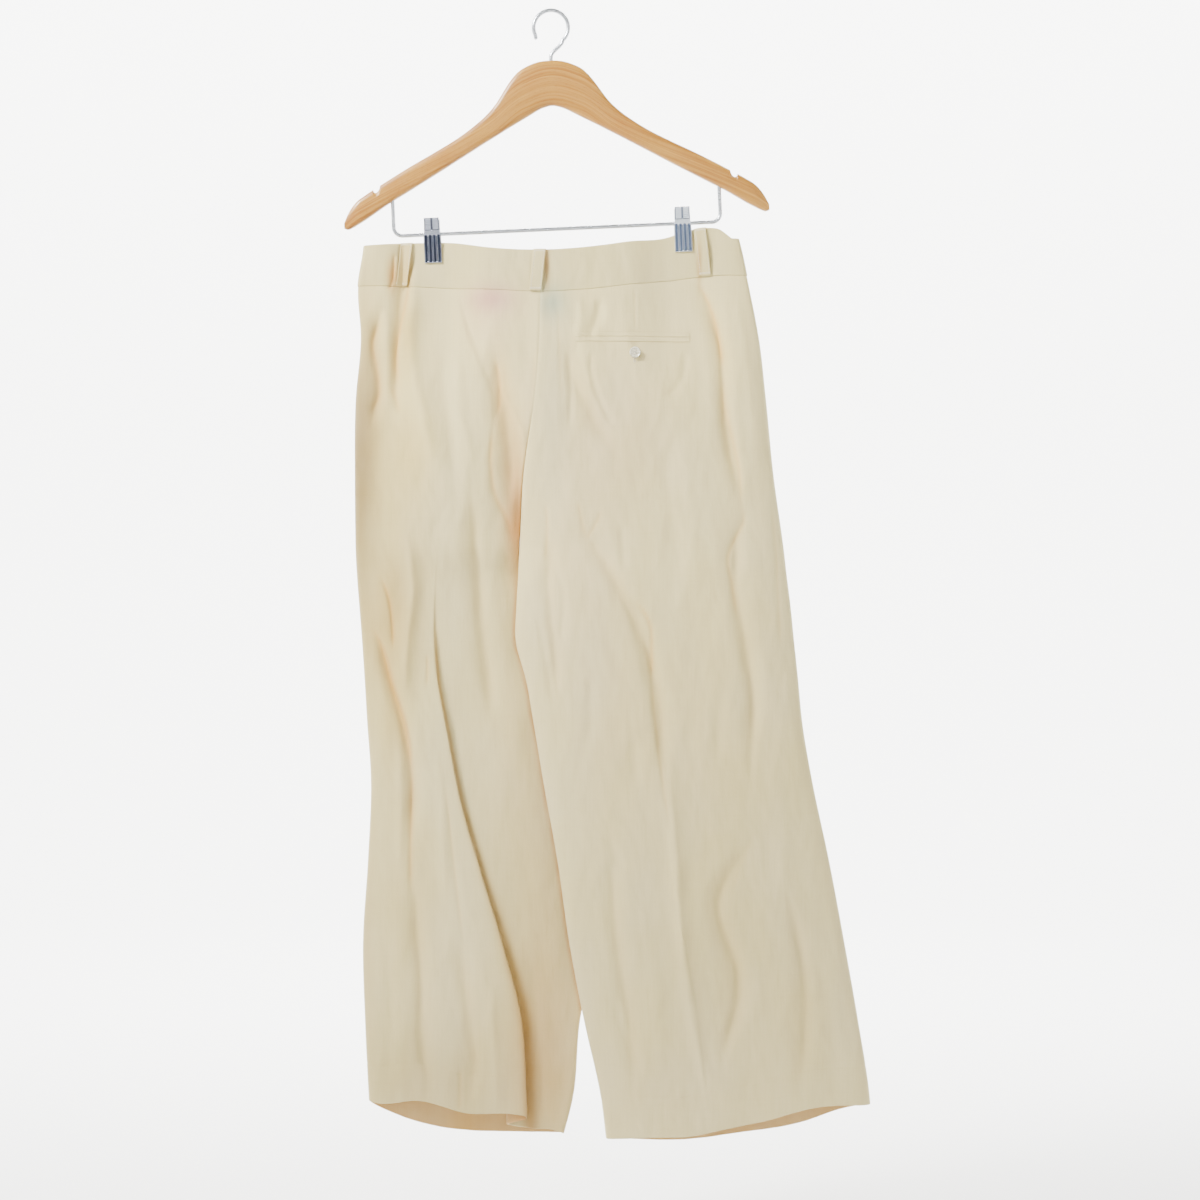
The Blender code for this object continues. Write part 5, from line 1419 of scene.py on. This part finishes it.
def make_loop(loop):
    """A belt loop: a folded strip, thinner at its turned edges, with a row of
    stitches along each of them and a bar of stitches across each end."""
    half = np.array([0, 0.2, 0.4, 0.6, 0.72, 0.8, 0.9, 0.97, 1])
    across = np.concatenate([-half[:0:-1], half])
    upper = [0, 0.01, 0.03, 0.06, 0.1, 0.16, 0.24, 0.34, 0.45]
    lower = [0.56, 0.67, 0.77, 0.85, 0.91, 0.95, 0.98, 0.99, 1]
    levels = np.array(upper + lower)
    u, t = np.meshgrid(across, levels)
    points = loop_surface(loop, u.ravel(), t.ravel()).reshape(*u.shape, 3)
    edge = rounded((1 - abs(u)) * LOOP_WIDTH / 2, LOOP_CLOTH / 2)
    edge = np.maximum(edge, rounded(np.minimum(t, 1 - t) * LOOP_LONG, LOOP_CLOTH / 2))
    groove = LOOP_GROOVE * np.exp(-(((abs(u) - LOOP_STITCHES_AT) / LOOP_GROOVE_WIDE) ** 2))
    lift = BAND_LIFT + LOOP_CLEAR + LOOP_CLOTH - edge
    toward = outward(loop.face)
    wall = LOOP_CLOTH - 2 * edge
    piece = wall_piece(loop.name + "_cloth", points, toward, lift - groove, wall, BAND_LINEN)
    paint(piece, None, loop.face)
    rows = []
    out = np.array([0, toward * (BAND_LIFT + LOOP_CLEAR + LOOP_CLOTH - 0.1), 0])
    levels = np.linspace(0.05, 0.95, 24)
    for place in (-LOOP_STITCHES_AT, LOOP_STITCHES_AT):
        rows.append(loop_surface(loop, np.full(24, place), levels) + out)
    bars = []
    for level in BAR_TACKS_AT:
        for shift in (0, BAR_TACK_APART):
            line = loop_surface(loop, np.linspace(-0.8, 0.8, 12), np.full(12, abs(level - shift)))
            bars.append(line + out)
    return piece, rows, bars


def grid_patch(point_at, us, vs):
    """A grid of points from a function of two shares."""
    u, v = np.meshgrid(us, vs)
    return point_at(u.ravel(), v.ravel()).reshape(*u.shape, 3)


def make_welt(name, top):
    """One lip of the back pocket: a narrow folded strip, rounded at both edges."""

    def point_at(u, v):
        x = WELT_LEFT + (WELT_RIGHT - WELT_LEFT) * u
        return on_panel("right", "back", x, top + WELT_HEIGHT * v)

    vs = np.array([0, 0.04, 0.1, 0.2, 0.35, 0.5, 0.65, 0.8, 0.9, 0.96, 1])
    points = grid_patch(point_at, np.linspace(0, 1, 90), vs)
    edge = rounded(np.minimum(vs, 1 - vs) * WELT_HEIGHT, WELT_CLOTH / 2)[:, None]
    lift = WELT_PROUD + WELT_CLOTH - edge
    piece = wall_piece(name, points, -1, lift, WELT_CLOTH - 2 * edge, LINEN)
    paint(piece, "right", "back")
    return piece


def fly_point(u, v, inset=0.0):
    """A point of the fly's flap: its outer edge curves in to the centre seam."""
    down = FLY_TOP + (FLY_BOTTOM - inset - FLY_TOP) * v
    curved = np.clip((v - FLY_ROUND_FROM) / (1 - FLY_ROUND_FROM), 0, 1)
    width = FLY_WIDTH - inset
    x = FLY_LEFT + width * (FLY_TOE + (1 - FLY_TOE) * np.sqrt(1 - curved ** 2)) * u
    points = np.zeros((len(u), 3))
    right = x >= column(LEVELS, "down", "right_inner", down) + 0.2
    if right.any():
        points[right] = on_panel("right", "front", x[right], down[right])
    if (~right).any():
        points[~right] = on_panel("left", "front", x[~right], down[~right])
    points[:, 0] = x
    return points


def make_fly():
    """The fly's flap and its curved row of stitches."""
    round_part = [0.78, 0.82, 0.86, 0.9, 0.93, 0.95, 0.97, 0.985, 0.995]
    vs = np.concatenate([np.linspace(0, FLY_ROUND_FROM, 30), round_part])
    points = grid_patch(fly_point, np.linspace(0, 1, 16), vs)
    piece = wall_piece("fly_flap_cloth", points, 1, PATCH_CLEAR + FLY_CLOTH, FLY_CLOTH, LINEN)
    paint(piece, None, "front")
    v = np.linspace(0.01, 0.995, 70)
    out = np.array([0, PATCH_CLEAR + FLY_CLOTH + STITCH_PROUD, 0])
    return piece, fly_point(np.ones(70), v, FLY_STITCH_IN) + out


def make_tab():
    """The waistband's end, lapped and buttoned over the centre of the front."""
    low = across_at("front", TAB_LEFT, 0.5)
    high = across_at("front", TAB_RIGHT, 0.5)

    def point_at(u, t):
        return band("front", low + (high - low) * u, TAB_FROM + TAB_SPAN * t)

    vs = np.array([0, 0.012, 0.03, *np.linspace(0.07, 0.93, 12), 0.97, 0.988, 1])
    us = np.array([0, 0.01, 0.03, *np.linspace(0.06, 0.94, 16), 0.97, 0.99, 1])
    points = grid_patch(point_at, us, vs)
    from_ends = np.minimum(us, 1 - us)[None, :] * TAB_LONG
    from_edge = np.minimum(vs, 1 - vs)[:, None] * TAB_TALL
    edge = rounded(np.minimum(from_edge, from_ends), TAB_CLOTH / 2)
    lift = BAND_LIFT + PATCH_CLEAR + TAB_CLEAR + TAB_CLOTH - edge
    piece = wall_piece("waistband_tab_cloth", points, 1, lift, TAB_CLOTH - 2 * edge, BAND_LINEN)
    paint(piece, None, "front")
    return piece


def make_button(name, place, toward):
    """A turned button: a raised rim, a dished middle and four holes, sewn on
    with two bars of thread."""
    x, y, z = place
    profile = [
        (0.6, 0.0),
        (BUTTON_RADIUS * 0.80, 0.0),
        (BUTTON_RADIUS * 0.92, 0.3),
        (BUTTON_RADIUS, BUTTON_THICK * 0.45),
        (BUTTON_RADIUS - 0.1, BUTTON_THICK * 0.75),
        (BUTTON_RADIUS - 0.35, BUTTON_THICK * 0.93),
        (BUTTON_RADIUS - 0.8, BUTTON_THICK),
        (BUTTON_RADIUS - BUTTON_RIM, BUTTON_THICK * 0.95),
        (BUTTON_RADIUS - BUTTON_RIM - 0.5, BUTTON_THICK - BUTTON_DISH * 0.8),
        (BUTTON_RADIUS - BUTTON_RIM - 1.1, BUTTON_THICK - BUTTON_DISH),
        (0.6, BUTTON_THICK - BUTTON_DISH * 1.1),
    ]
    turn = np.linspace(0, 2 * math.pi, BUTTON_TURNS, endpoint=False)
    rings = []
    for radius, rise in profile:
        depth = np.full(BUTTON_TURNS, y + toward * rise)
        ring = [x + radius * np.cos(turn), depth, z + radius * np.sin(turn)]
        rings.append(np.stack(ring, axis=1))
    body = ring_piece(name, rings, PEARL, 60)
    angles = np.radians(EYE_ANGLES)
    eyes = [(x + EYE_OUT * math.cos(a), z + EYE_OUT * math.sin(a)) for a in angles]
    cutters = []
    for ex, ez in eyes:
        cutters.append(drill((ex, y - toward * 2, ez), (ex, y + toward * 5, ez), EYE_RADIUS, PEARL))
    cut(body, cutters)
    body.data.shade_smooth()
    body.data.set_sharp_from_angle(angle=math.radians(40))
    top = y + toward * (BUTTON_THICK - BUTTON_DISH + THREAD_PROUD)
    base = y - toward * (BUTTON_STAND - 0.2)
    threads = []
    for first, second in ((0, 1), (3, 2)):
        for shift in (-THREAD_APART, THREAD_APART):
            ax, az = eyes[first][0], eyes[first][1] + shift
            bx, bz = eyes[second][0], eyes[second][1] + shift
            route = [
                (ax, base, az),
                (ax, top - toward * 0.5, az),
                (ax * 0.85 + bx * 0.15, top, az * 0.85 + bz * 0.15),
                (ax * 0.15 + bx * 0.85, top, az * 0.15 + bz * 0.85),
                (bx, top - toward * 0.5, bz),
                (bx, base, bz),
            ]
            threads.append(route)
    return body, threads


def join(name, pieces):
    """Several plain pieces as one object."""
    bm = bmesh.new()
    for piece in pieces:
        bm.from_mesh(piece.data)
    mesh = bpy.data.meshes.new(name)
    bm.to_mesh(mesh)
    bm.free()
    for material in pieces[0].data.materials:
        mesh.materials.append(material)
    for piece in pieces:
        bpy.data.objects.remove(piece)
    return new_object(name, mesh)


def smooth_route(points, steps):
    """A smooth route through a few points."""
    points = np.asarray(points, float)
    at = np.linspace(0, len(points) - 1, steps)
    places = np.arange(len(points))
    return np.stack([through(places, points[:, k], at) for k in range(3)], axis=1)


def make_threads(name, routes):
    """Short threads along the given routes, as one piece."""
    return join(name, [thread_tube(smooth_route(route, 14)) for route in routes])


def new_curve(name, routes):
    """A curve along routes in millimetres."""
    curve = bpy.data.curves.new(name, "CURVE")
    curve.dimensions = "3D"
    for route in routes:
        spline = curve.splines.new("POLY")
        spline.points.add(len(route) - 1)
        for spot, p in zip(spline.points, route):
            spot.co = (*(np.asarray(p) * MM), 1)
    return curve


def thread_tube(points):
    """A thin tube along any route, made from a curve."""
    curve = new_curve("thread", [points])
    curve.bevel_depth = THREAD * MM
    curve.bevel_resolution = 1
    curve.use_fill_caps = True
    piece = new_object("thread", curve)
    curve.materials.append(THREAD_FINISH)
    return settle(piece)


# ---- stitches and springs, made by geometry nodes ------------------------------------
def new_tree(name, labels):
    """A geometry node tree with a geometry and the named numbers as inputs."""
    tree = bpy.data.node_groups.new(name, "GeometryNodeTree")
    face = tree.interface
    face.new_socket("Geometry", in_out="INPUT", socket_type="NodeSocketGeometry")
    for label in labels:
        face.new_socket(label, in_out="INPUT", socket_type="NodeSocketFloat")
    face.new_socket("Geometry", in_out="OUTPUT", socket_type="NodeSocketGeometry")
    return tree, add_node(tree, "NodeGroupInput")


def end_tree(tree, shape, finish):
    """Make a tree's instances real, give them their material and end it."""
    real = add_node(tree, "GeometryNodeRealizeInstances", links={0: shape.outputs[0]})
    finished = add_node(
        tree, "GeometryNodeSetMaterial", values={"Material": finish}, links={0: real.outputs[0]}
    )
    add_node(tree, "NodeGroupOutput", links={0: finished.outputs[0]})
    return tree


def grown(piece, tree, sizes):
    """A piece with a node tree's shape on it, for the given input sizes."""
    shaped = piece.modifiers.new("shape", "NODES")
    shaped.node_group = tree
    for item in tree.interface.items_tree:
        if item.name in sizes:
            shaped[item.identifier] = sizes[item.name]
    return settle(piece)


def stitch_tree():
    """Stitches along a curve: one small rounded bead a spacing, laid along it."""
    tree, given = new_tree("stitch row", ("Spacing", "Stitch length", "Thread radius"))
    spaced = add_node(
        tree,
        "GeometryNodeResampleCurve",
        {"mode": "LENGTH"},
        links={"Curve": given.outputs["Geometry"], "Length": given.outputs["Spacing"]},
    )
    points = add_node(
        tree, "GeometryNodeCurveToPoints", {"mode": "EVALUATED"}, links={0: spaced.outputs[0]}
    )
    bead = add_node(
        tree, "GeometryNodeMeshUVSphere", values={"Segments": 6, "Rings": 4, "Radius": 1.0}
    )
    half = add_node(
        tree, "ShaderNodeMath", {"operation": "MULTIPLY"}, {1: 0.5}, {0: given.outputs["Stitch length"]}
    )
    size = add_node(
        tree,
        "ShaderNodeCombineXYZ",
        links={
            "X": given.outputs["Thread radius"],
            "Y": given.outputs["Thread radius"],
            "Z": half.outputs[0],
        },
    )
    turned = add_node(
        tree,
        "FunctionNodeAlignRotationToVector",
        {"axis": "Z"},
        links={"Vector": points.outputs["Tangent"]},
    )
    placed = add_node(
        tree,
        "GeometryNodeInstanceOnPoints",
        links={
            "Points": points.outputs["Points"],
            "Instance": bead.outputs["Mesh"],
            "Rotation": turned.outputs["Rotation"],
            "Scale": size.outputs["Vector"],
        },
    )
    return end_tree(tree, placed, THREAD_FINISH)


def make_stitches(name, rows, spacing, length, radius=THREAD):
    """Rows of stitches along routes in millimetres."""
    sizes = {"Spacing": spacing * MM, "Stitch length": length * MM, "Thread radius": radius * MM}
    made = grown(new_object(name, new_curve(name, rows)), STITCHES, sizes)
    made.data.shade_smooth()
    return made


def coil_tree():
    """A close coil of round wire along an axis."""
    tree, given = new_tree("spring coil", ("Turns", "Coil radius", "Coil length", "Wire radius"))
    coil = add_node(
        tree,
        "GeometryNodeCurveSpiral",
        values={"Resolution": 24},
        links={
            "Rotations": given.outputs["Turns"],
            "Start Radius": given.outputs["Coil radius"],
            "End Radius": given.outputs["Coil radius"],
            "Height": given.outputs["Coil length"],
        },
    )
    ring = add_node(
        tree,
        "GeometryNodeCurvePrimitiveCircle",
        values={"Resolution": 8},
        links={"Radius": given.outputs["Wire radius"]},
    )
    wound = add_node(
        tree,
        "GeometryNodeCurveToMesh",
        values={"Fill Caps": True},
        links={"Curve": coil.outputs[0], "Profile Curve": ring.outputs[0]},
    )
    return end_tree(tree, wound, CHROME_PAINTED_LIGHT)


# ---- pieces of the hanger ------------------------------------------------------------
def hung(u, depth, v):
    """A point in the hanger's own tilted axes, as x, depth and height."""
    x = HANGER_X + u * math.cos(TILT) - v * math.sin(TILT)
    z = -HANGER_DOWN + u * math.sin(TILT) + v * math.cos(TILT)
    return (x, depth, z)


def wood_edge(u, edge):
    """Height of the wood's upper or lower edge, with the notch in the upper one."""
    height = column(ARM, "u", edge, abs(u))
    if edge == "top":
        into = np.clip(1 - abs(abs(u) - NOTCH_U) / NOTCH_HALF, 0, 1)
        height = height - NOTCH_DEEP * np.sqrt(np.clip(1 - (1 - into) ** 2, 0, 1))
    return height


def make_wood():
    """The wooden arms: an even rounded section along the outline."""
    last = ARM[-1].u
    us = last * np.sin(np.linspace(-math.pi / 2, math.pi / 2, ARM_STATIONS))
    notch = np.linspace(NOTCH_U - NOTCH_HALF - 1, NOTCH_U + NOTCH_HALF + 1, 15)
    us = np.unique(np.concatenate([us, notch, -notch]))
    turn = np.linspace(0, 2 * math.pi, WOOD_SIDES, endpoint=False)
    power = 2 / WOOD_CORNER
    across = np.sign(np.cos(turn)) * abs(np.cos(turn)) ** power
    along = np.sign(np.sin(turn)) * abs(np.sin(turn)) ** power
    rings = []
    for u in us:
        top = wood_edge(u, "top")
        bottom = wood_edge(u, "bottom")
        half = WOOD_DEPTH / 2 * (1 - TIP_THINNER * ease(*TIP_FROM, abs(u)))
        middle = (top + bottom) / 2
        rise = (top - bottom) / 2
        rings.append([hung(u, half * a, middle + rise * b) for a, b in zip(across, along)])
    wood = ring_piece("hanger_wood", rings, BEECH, 45)
    cutters = []
    for u in (-BAR_U, BAR_U):
        foot = column(ARM, "u", "bottom", abs(u)) + BAR_INTO_WOOD + HOLE_CLEAR
        cutters.append(drill(hung(u, 0, BAR_HOLE_FROM), hung(u, 0, foot), WIRE_RADIUS + HOLE_CLEAR, BEECH))
    foot = (0, 0, -HOOK_FOOT_DOWN - HOLE_CLEAR)
    cutters.append(drill((0, 0, HOOK_HOLE_FROM), foot, HOOK_RADIUS + HOLE_CLEAR, BEECH))
    cut(wood, cutters)
    wood.data.shade_smooth()
    wood.data.set_sharp_from_angle(angle=math.radians(35))
    add_grain(wood)
    return wood


def add_grain(wood):
    """Lay the grain along each arm: its direction follows the arm's slope."""
    places = np.array([v.co[:] for v in wood.data.vertices]) / MM
    x = places[:, 0] - HANGER_X
    z = places[:, 2] + HANGER_DOWN
    u = x * math.cos(TILT) + z * math.sin(TILT)
    v = -x * math.sin(TILT) + z * math.cos(TILT)
    middle = (column(ARM, "u", "top", abs(u)) + column(ARM, "u", "bottom", abs(u))) / 2
    grain = np.stack([u, places[:, 1], v - GRAIN_FOLLOWS * middle], axis=1) * MM
    layer = wood.data.attributes.new("grain", "FLOAT_VECTOR", "POINT")
    layer.data.foreach_set("vector", grain.astype(np.float32).ravel())


def bend(centre, radius, start, end, steps):
    """Points round a bend in the plane of the hanger, angles in degrees."""
    turn = np.radians(np.linspace(start, end, steps + 1))
    return [(centre[0] + radius * math.cos(a), centre[1] + radius * math.sin(a)) for a in turn]


def make_hook():
    """The hook: a straight foot in the wood and a round crook with a blunt tip."""
    crook = HOOK_INSIDE + HOOK_RADIUS
    centre = (0, -HOOK_INSIDE)
    join_x, join_z = bend(centre, crook, HOOK_START_ANGLE, HOOK_START_ANGLE, 1)[0]
    route = [(0, -HOOK_FOOT_DOWN), (0, -55), (0, -50), (0, -HOOK_STEM_DOWN)]
    for p in np.linspace(0, 1, 14)[1:-1]:
        x = join_x * p * p * (3 - 2 * p)
        route.append((x, -HOOK_STEM_DOWN + (join_z + HOOK_STEM_DOWN) * p))
    route += bend(centre, crook, HOOK_START_ANGLE, HOOK_END_ANGLE, 60)
    last_x, last_z = route[-1]
    route.append((last_x + 0.4, last_z - 0.5 * HOOK_TIP_LENGTH))
    route.append((last_x + 0.5, last_z - 0.75 * HOOK_TIP_LENGTH))
    return tube_piece("hook_wire", [(x, 0, z) for x, z in route], HOOK_RADIUS, WIRE)


def make_bar():
    """The trouser bar: one wire, bent down from the wood and across."""
    foot = column(ARM, "u", "bottom", BAR_U) + BAR_INTO_WOOD
    left = bend((-BAR_U + BAR_CORNER, BAR_V + BAR_CORNER), BAR_CORNER, 180, 270, 14)
    right = bend((BAR_U - BAR_CORNER, BAR_V + BAR_CORNER), BAR_CORNER, 270, 360, 14)
    route = [(-BAR_U, v) for v in np.linspace(foot, 2, 8)] + left
    route += [(u, BAR_V) for u in np.linspace(-155, 155, 24)]
    route += right + [(BAR_U, v) for v in np.linspace(2, foot, 8)]
    return tube_piece("bar_wire", [hung(u, 0, v) for u, v in route], WIRE_RADIUS, WIRE, ends="flat")


def make_clip_plate(name, u, toward, finish):
    """One plate of a clip: upright flutes on the jaw with round tops, and two
    toothed columns on the finger end."""
    across = np.linspace(-1, 1, PLATE_COLUMNS)
    heights = np.linspace(CLIP[0].v, CLIP[-1].v, PLATE_ROWS)
    w, v = np.meshgrid(across, heights)
    downward = [-p.v for p in CLIP]
    inside = through(downward, [p.inside for p in CLIP], -v)
    width = through(downward, [p.width for p in CLIP], -v)
    flute = (w + 1) / 2 * FLUTES
    in_flute = abs(2 * (flute % 1) - 1)
    below_top = FLUTES_FROM - FLUTE_ROUND * in_flute ** 2 - v
    hollow = np.sqrt(np.clip(1 - in_flute ** 2, 0, 1)) * FLUTE_DEEP
    for run_in in (below_top, v - CLIP[-1].v):
        hollow = hollow * ease(0, FLUTE_RUN_IN, run_in)
    column_share = abs(2 * ((w + 1) % 1) - 1)
    finger = ease(*FINGER_FROM, v)
    teeth = GRIP_DEEP * 0.5 * (1 + np.cos(2 * math.pi * v / GRIP_SPACING))
    teeth = teeth * ease(*GRIP_BANDS, column_share)
    rib = RIB_PROUD * ease(*RIB_BANDS, column_share) * finger
    rim = rounded((1 - abs(w)) * width / 2, PLATE_ROUND)
    rim = np.maximum(rim, rounded(np.minimum(CLIP[0].v - v, v - CLIP[-1].v), PLATE_ROUND))
    out = CLIP_PLATE + JAW_PROUD - hollow - (JAW_PROUD - rib - teeth) * finger - rim
    place = u + w * width / 2
    outside = inside + np.maximum(out, PLATE_THIN)
    outer = np.stack(hung(place, toward * outside, v), axis=-1)
    inner = np.stack(hung(place, toward * inside, v), axis=-1)
    both = np.concatenate([outer.reshape(-1, 3), inner.reshape(-1, 3)])
    plate = new_piece(name, both, wall_faces(*w.shape, toward), finish, 35)
    # painted reflection: dark in the flutes and on the ribs, for the chrome's colour
    ribs_painted_dark = RIB_PAINTED_DARK * ease(*RIB_PAINTED_DARK_BANDS, column_share) * finger
    held = np.maximum(hollow / FLUTE_DEEP, ribs_painted_dark).ravel()
    layer = plate.data.attributes.new("hollow", "FLOAT", "POINT")
    layer.data.foreach_set("value", np.concatenate([held, 0 * held]).astype(np.float32))
    return plate


def make_spring(name, u):
    """The coil round the bar that closes a clip."""
    sizes = {
        "Turns": float(SPRING_TURNS),
        "Coil radius": SPRING_RADIUS * MM,
        "Coil length": (SPRING_LENGTH - 2 * SPRING_WIRE) * MM,
        "Wire radius": SPRING_WIRE * MM,
    }
    made = grown(new_object(name, bpy.data.meshes.new(name)), COIL, sizes)
    places = np.array([v.co[:] for v in made.data.vertices]) / MM
    moved = [hung(u - SPRING_LENGTH / 2 + SPRING_WIRE + z, y, BAR_V + x) for x, y, z in places]
    made.data.vertices.foreach_set("co", (np.array(moved) * MM).astype(np.float32).ravel())
    bm = bmesh.new()
    bm.from_mesh(made.data)
    bmesh.ops.recalc_face_normals(bm, faces=bm.faces[:])
    bm.to_mesh(made.data)
    bm.free()
    made.data.shade_smooth()
    return made


# ---- make everything -----------------------------------------------------------------
def carry(piece, slot, *nodes):
    """The piece rides on the one body, and stands for the given solids."""
    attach(piece, "root")
    if nodes:
        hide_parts(*nodes)
    return piece


STITCHES = stitch_tree()
COIL = coil_tree()

Cut = namedtuple("Cut", "wide long area")
# The waistband's three lengths: face, ends as across values, columns and metres.
BANDS = [
    ("waistband_back", "back", -0.998, 0.998, 420, 0.418),
    ("waistband_front_left", "front", -0.998, -0.001, 200, 0.198),
    ("waistband_front_right", "front", 0.001, 0.998, 220, 0.219),
]


def dress_cloth():
    """Every cloth piece, with its stitches and buttons."""
    for side in ("left", "right"):
        for face in ("back", "front"):
            piece = make_panel(side, face)
            carry(piece, "linen", f"{side}_leg_{face}")
    for node_name, face, low, high, columns, length in BANDS:
        piece = make_band(node_name + "_cloth", face, low, high, columns)
        carry(piece, "linen_band", node_name)
    rows = []
    bars = []
    for loop in LOOPS:
        piece, loop_rows, loop_bars = make_loop(loop)
        carry(piece, "linen_band", loop.name)
        rows += loop_rows
        bars += loop_bars
    carry(make_stitches("belt_loop_stitches", rows, STITCH_SPACING, STITCH_LONG), "linen_band")
    carry(make_stitches("belt_loop_bar_tacks", bars, BAR_TACK_SPACING, BAR_TACK_LONG), "linen_band")
    top = WELT_TOP
    for node_name in ("back_pocket_upper_welt", "back_pocket_lower_welt"):
        piece = make_welt(node_name + "_cloth", top)
        carry(piece, "linen", node_name)
        top += WELT_HEIGHT + WELT_GAP
    piece, row = make_fly()
    carry(piece, "linen", "fly_flap")
    carry(make_stitches("fly_stitches", [row], STITCH_SPACING, STITCH_LONG), "linen")
    piece = make_tab()
    carry(piece, "linen_band", "waistband_tab")
    dress_buttons()


def dress_buttons():
    """Both buttons, their threads and the pocket's buttonhole."""
    pocket = on_panel("right", "back", [POCKET_BUTTON_X], [POCKET_BUTTON_DOWN])[0]
    body, threads = make_button("pocket_button_pearl", pocket - np.array([0, BUTTON_STAND, 0]), -1)
    carry(body, "button", "pocket_button")
    carry(make_threads("pocket_button_thread", threads), "linen")
    waist = band("front", np.array([across_at("front", WAIST_BUTTON_X, 0.5)]), np.array([0.5]))[0]
    over_tab = BAND_LIFT + PATCH_CLEAR + TAB_CLEAR + TAB_CLOTH + BUTTON_STAND
    body, threads = make_button("waist_button_pearl", waist + np.array([0, over_tab, 0]), 1)
    carry(body, "button", "waist_button")
    carry(make_threads("waist_button_thread", threads), "linen")
    half = BUTTONHOLE_LONG / 2
    downs = np.linspace(-half, half, 24) + POCKET_BUTTON_DOWN + BUTTONHOLE_BELOW
    rows = []
    for shift in (-BUTTONHOLE_HALF, BUTTONHOLE_HALF):
        x = POCKET_BUTTON_X - BUTTONHOLE_LEFT + shift
        line = on_panel("right", "back", np.full(24, x), downs)
        rows.append(line - np.array([0, 0.25, 0]))
    carry(make_stitches("buttonhole_stitches", rows, *BUTTONHOLE_STITCH), "linen")


def dress_hanger():
    """The wood, the wires and both clips."""
    carry(make_wood(), "varnished_wood", "wooden_hanger")
    carry(make_hook(), "bright_wire", "hanger_hook")
    carry(make_bar(), "bright_wire", "trouser_bar")
    # the left clips take the chrome painted as in shade, the right ones the chrome painted as in light
    for side, u, finish in (("left", -CLIP_U, CHROME_PAINTED_SHADE), ("right", CLIP_U, CHROME_PAINTED_LIGHT)):
        for place, toward in (("near", -1), ("far", 1)):
            plate = make_clip_plate(f"{side}_clip_{place}", u, toward, finish)
            carry(plate, "chromed_steel", f"{side}_clip_{place}_plate")
        carry(make_spring(f"{side}_clip_coil", u), "chromed_steel", f"{side}_clip_spring")


# ---- the studio ----------------------------------------------------------------------
FLOOR_DOWN = 1.32        # metres below the hook
COVE_RADIUS = 4.6
COVE_CURVE = 1.2
COVE_TOP = 3.4
CAMERA_AWAY = 3.0
CAMERA_AIM = (0.0513, -0.615)
CAMERA_LENS = 86.0
FLOOR_TURNS = 96
ON_GARMENT = (0.05, 0.0, -0.7)
ON_WALL = (0.0, 4.6, 0.2)

Lamp = namedtuple("Lamp", "name place size power aim")
LAMPS = [
    Lamp("key", (-1.4, -1.15, 1.0), (0.45, 0.45), 138.0, ON_GARMENT),
    Lamp("fill", (1.8, -3.0, 0.2), (1.6, 1.6), 2.0, ON_GARMENT),
    Lamp("backdrop", (0.0, 1.0, 2.2), (4.5, 0.8), 1550.0, ON_WALL),
]


def make_floor():
    """A round pale floor that curves up into a wall."""
    flat_to = COVE_RADIUS - COVE_CURVE
    profile = [(0.02, -FLOOR_DOWN), (1.0, -FLOOR_DOWN), (flat_to, -FLOOR_DOWN)]
    for a in np.radians(np.linspace(-80, 0, 9)):
        rise = COVE_CURVE + COVE_CURVE * math.sin(a)
        profile.append((flat_to + COVE_CURVE * math.cos(a), rise - FLOOR_DOWN))
    profile.append((COVE_RADIUS, COVE_TOP))
    points = []
    for a in 2 * math.pi * np.arange(FLOOR_TURNS) / FLOOR_TURNS:
        points += [(out * math.cos(a) / MM, out * math.sin(a) / MM, up / MM) for out, up in profile]
    count = len(profile)
    faces = []
    for k in range(FLOOR_TURNS):
        n = (k + 1) % FLOOR_TURNS
        for i in range(count - 1):
            faces.append((k * count + i, k * count + i + 1, n * count + i + 1, n * count + i))
        if k % 2 == 0:
            # the middle, in faces of four corners too
            after = (k + 2) % FLOOR_TURNS
            faces.append((FLOOR_TURNS * count, k * count, n * count, after * count))
    points.append((0.0, 0.0, -FLOOR_DOWN / MM))
    paper, tree, shader = new_material("white paper", Roughness=0.9)
    fibre = add_node(
        tree,
        "ShaderNodeTexNoise",
        values={"Scale": 1.0, "Detail": 2.0},
        links={"Vector": object_place(tree, (4, 4, 4))},
    ).outputs["Fac"]
    tree.links.new(mix_colour(tree, "MIX", fibre, "#DCDCDA", "#E2E2E1"), shader.inputs["Base Color"])
    floor = new_piece("floor", points, faces, paper)


def make_studio():
    """The floor, soft lights and the camera."""
    make_floor()
    for lamp in LAMPS:
        light = bpy.data.lights.new(lamp.name, "AREA")
        light.shape = "RECTANGLE"
        light.size, light.size_y = lamp.size
        light.energy = lamp.power
        lit = new_object(lamp.name, light)
        lit.location = lamp.place
        way = Vector(lamp.aim) - Vector(lamp.place)
        lit.rotation_euler = way.to_track_quat("-Z", "Y").to_euler()
    world = bpy.data.worlds.new("studio")
    world.use_nodes = True
    background = world.node_tree.nodes["Background"]
    background.inputs["Color"].default_value = colour("#FFFFFF")
    background.inputs["Strength"].default_value = 0.05
    bpy.context.scene.world = world
    lens = bpy.data.cameras.new("camera")
    lens.lens = CAMERA_LENS
    lens.sensor_width = 36.0
    camera = new_object("camera", lens)
    camera.location = (CAMERA_AIM[0], -CAMERA_AWAY, CAMERA_AIM[1])
    camera.rotation_euler = (math.radians(90), 0, 0)
    bpy.context.scene.camera = camera


dress_cloth()
dress_hanger()
make_studio()

bpy.context.view_layer.update()
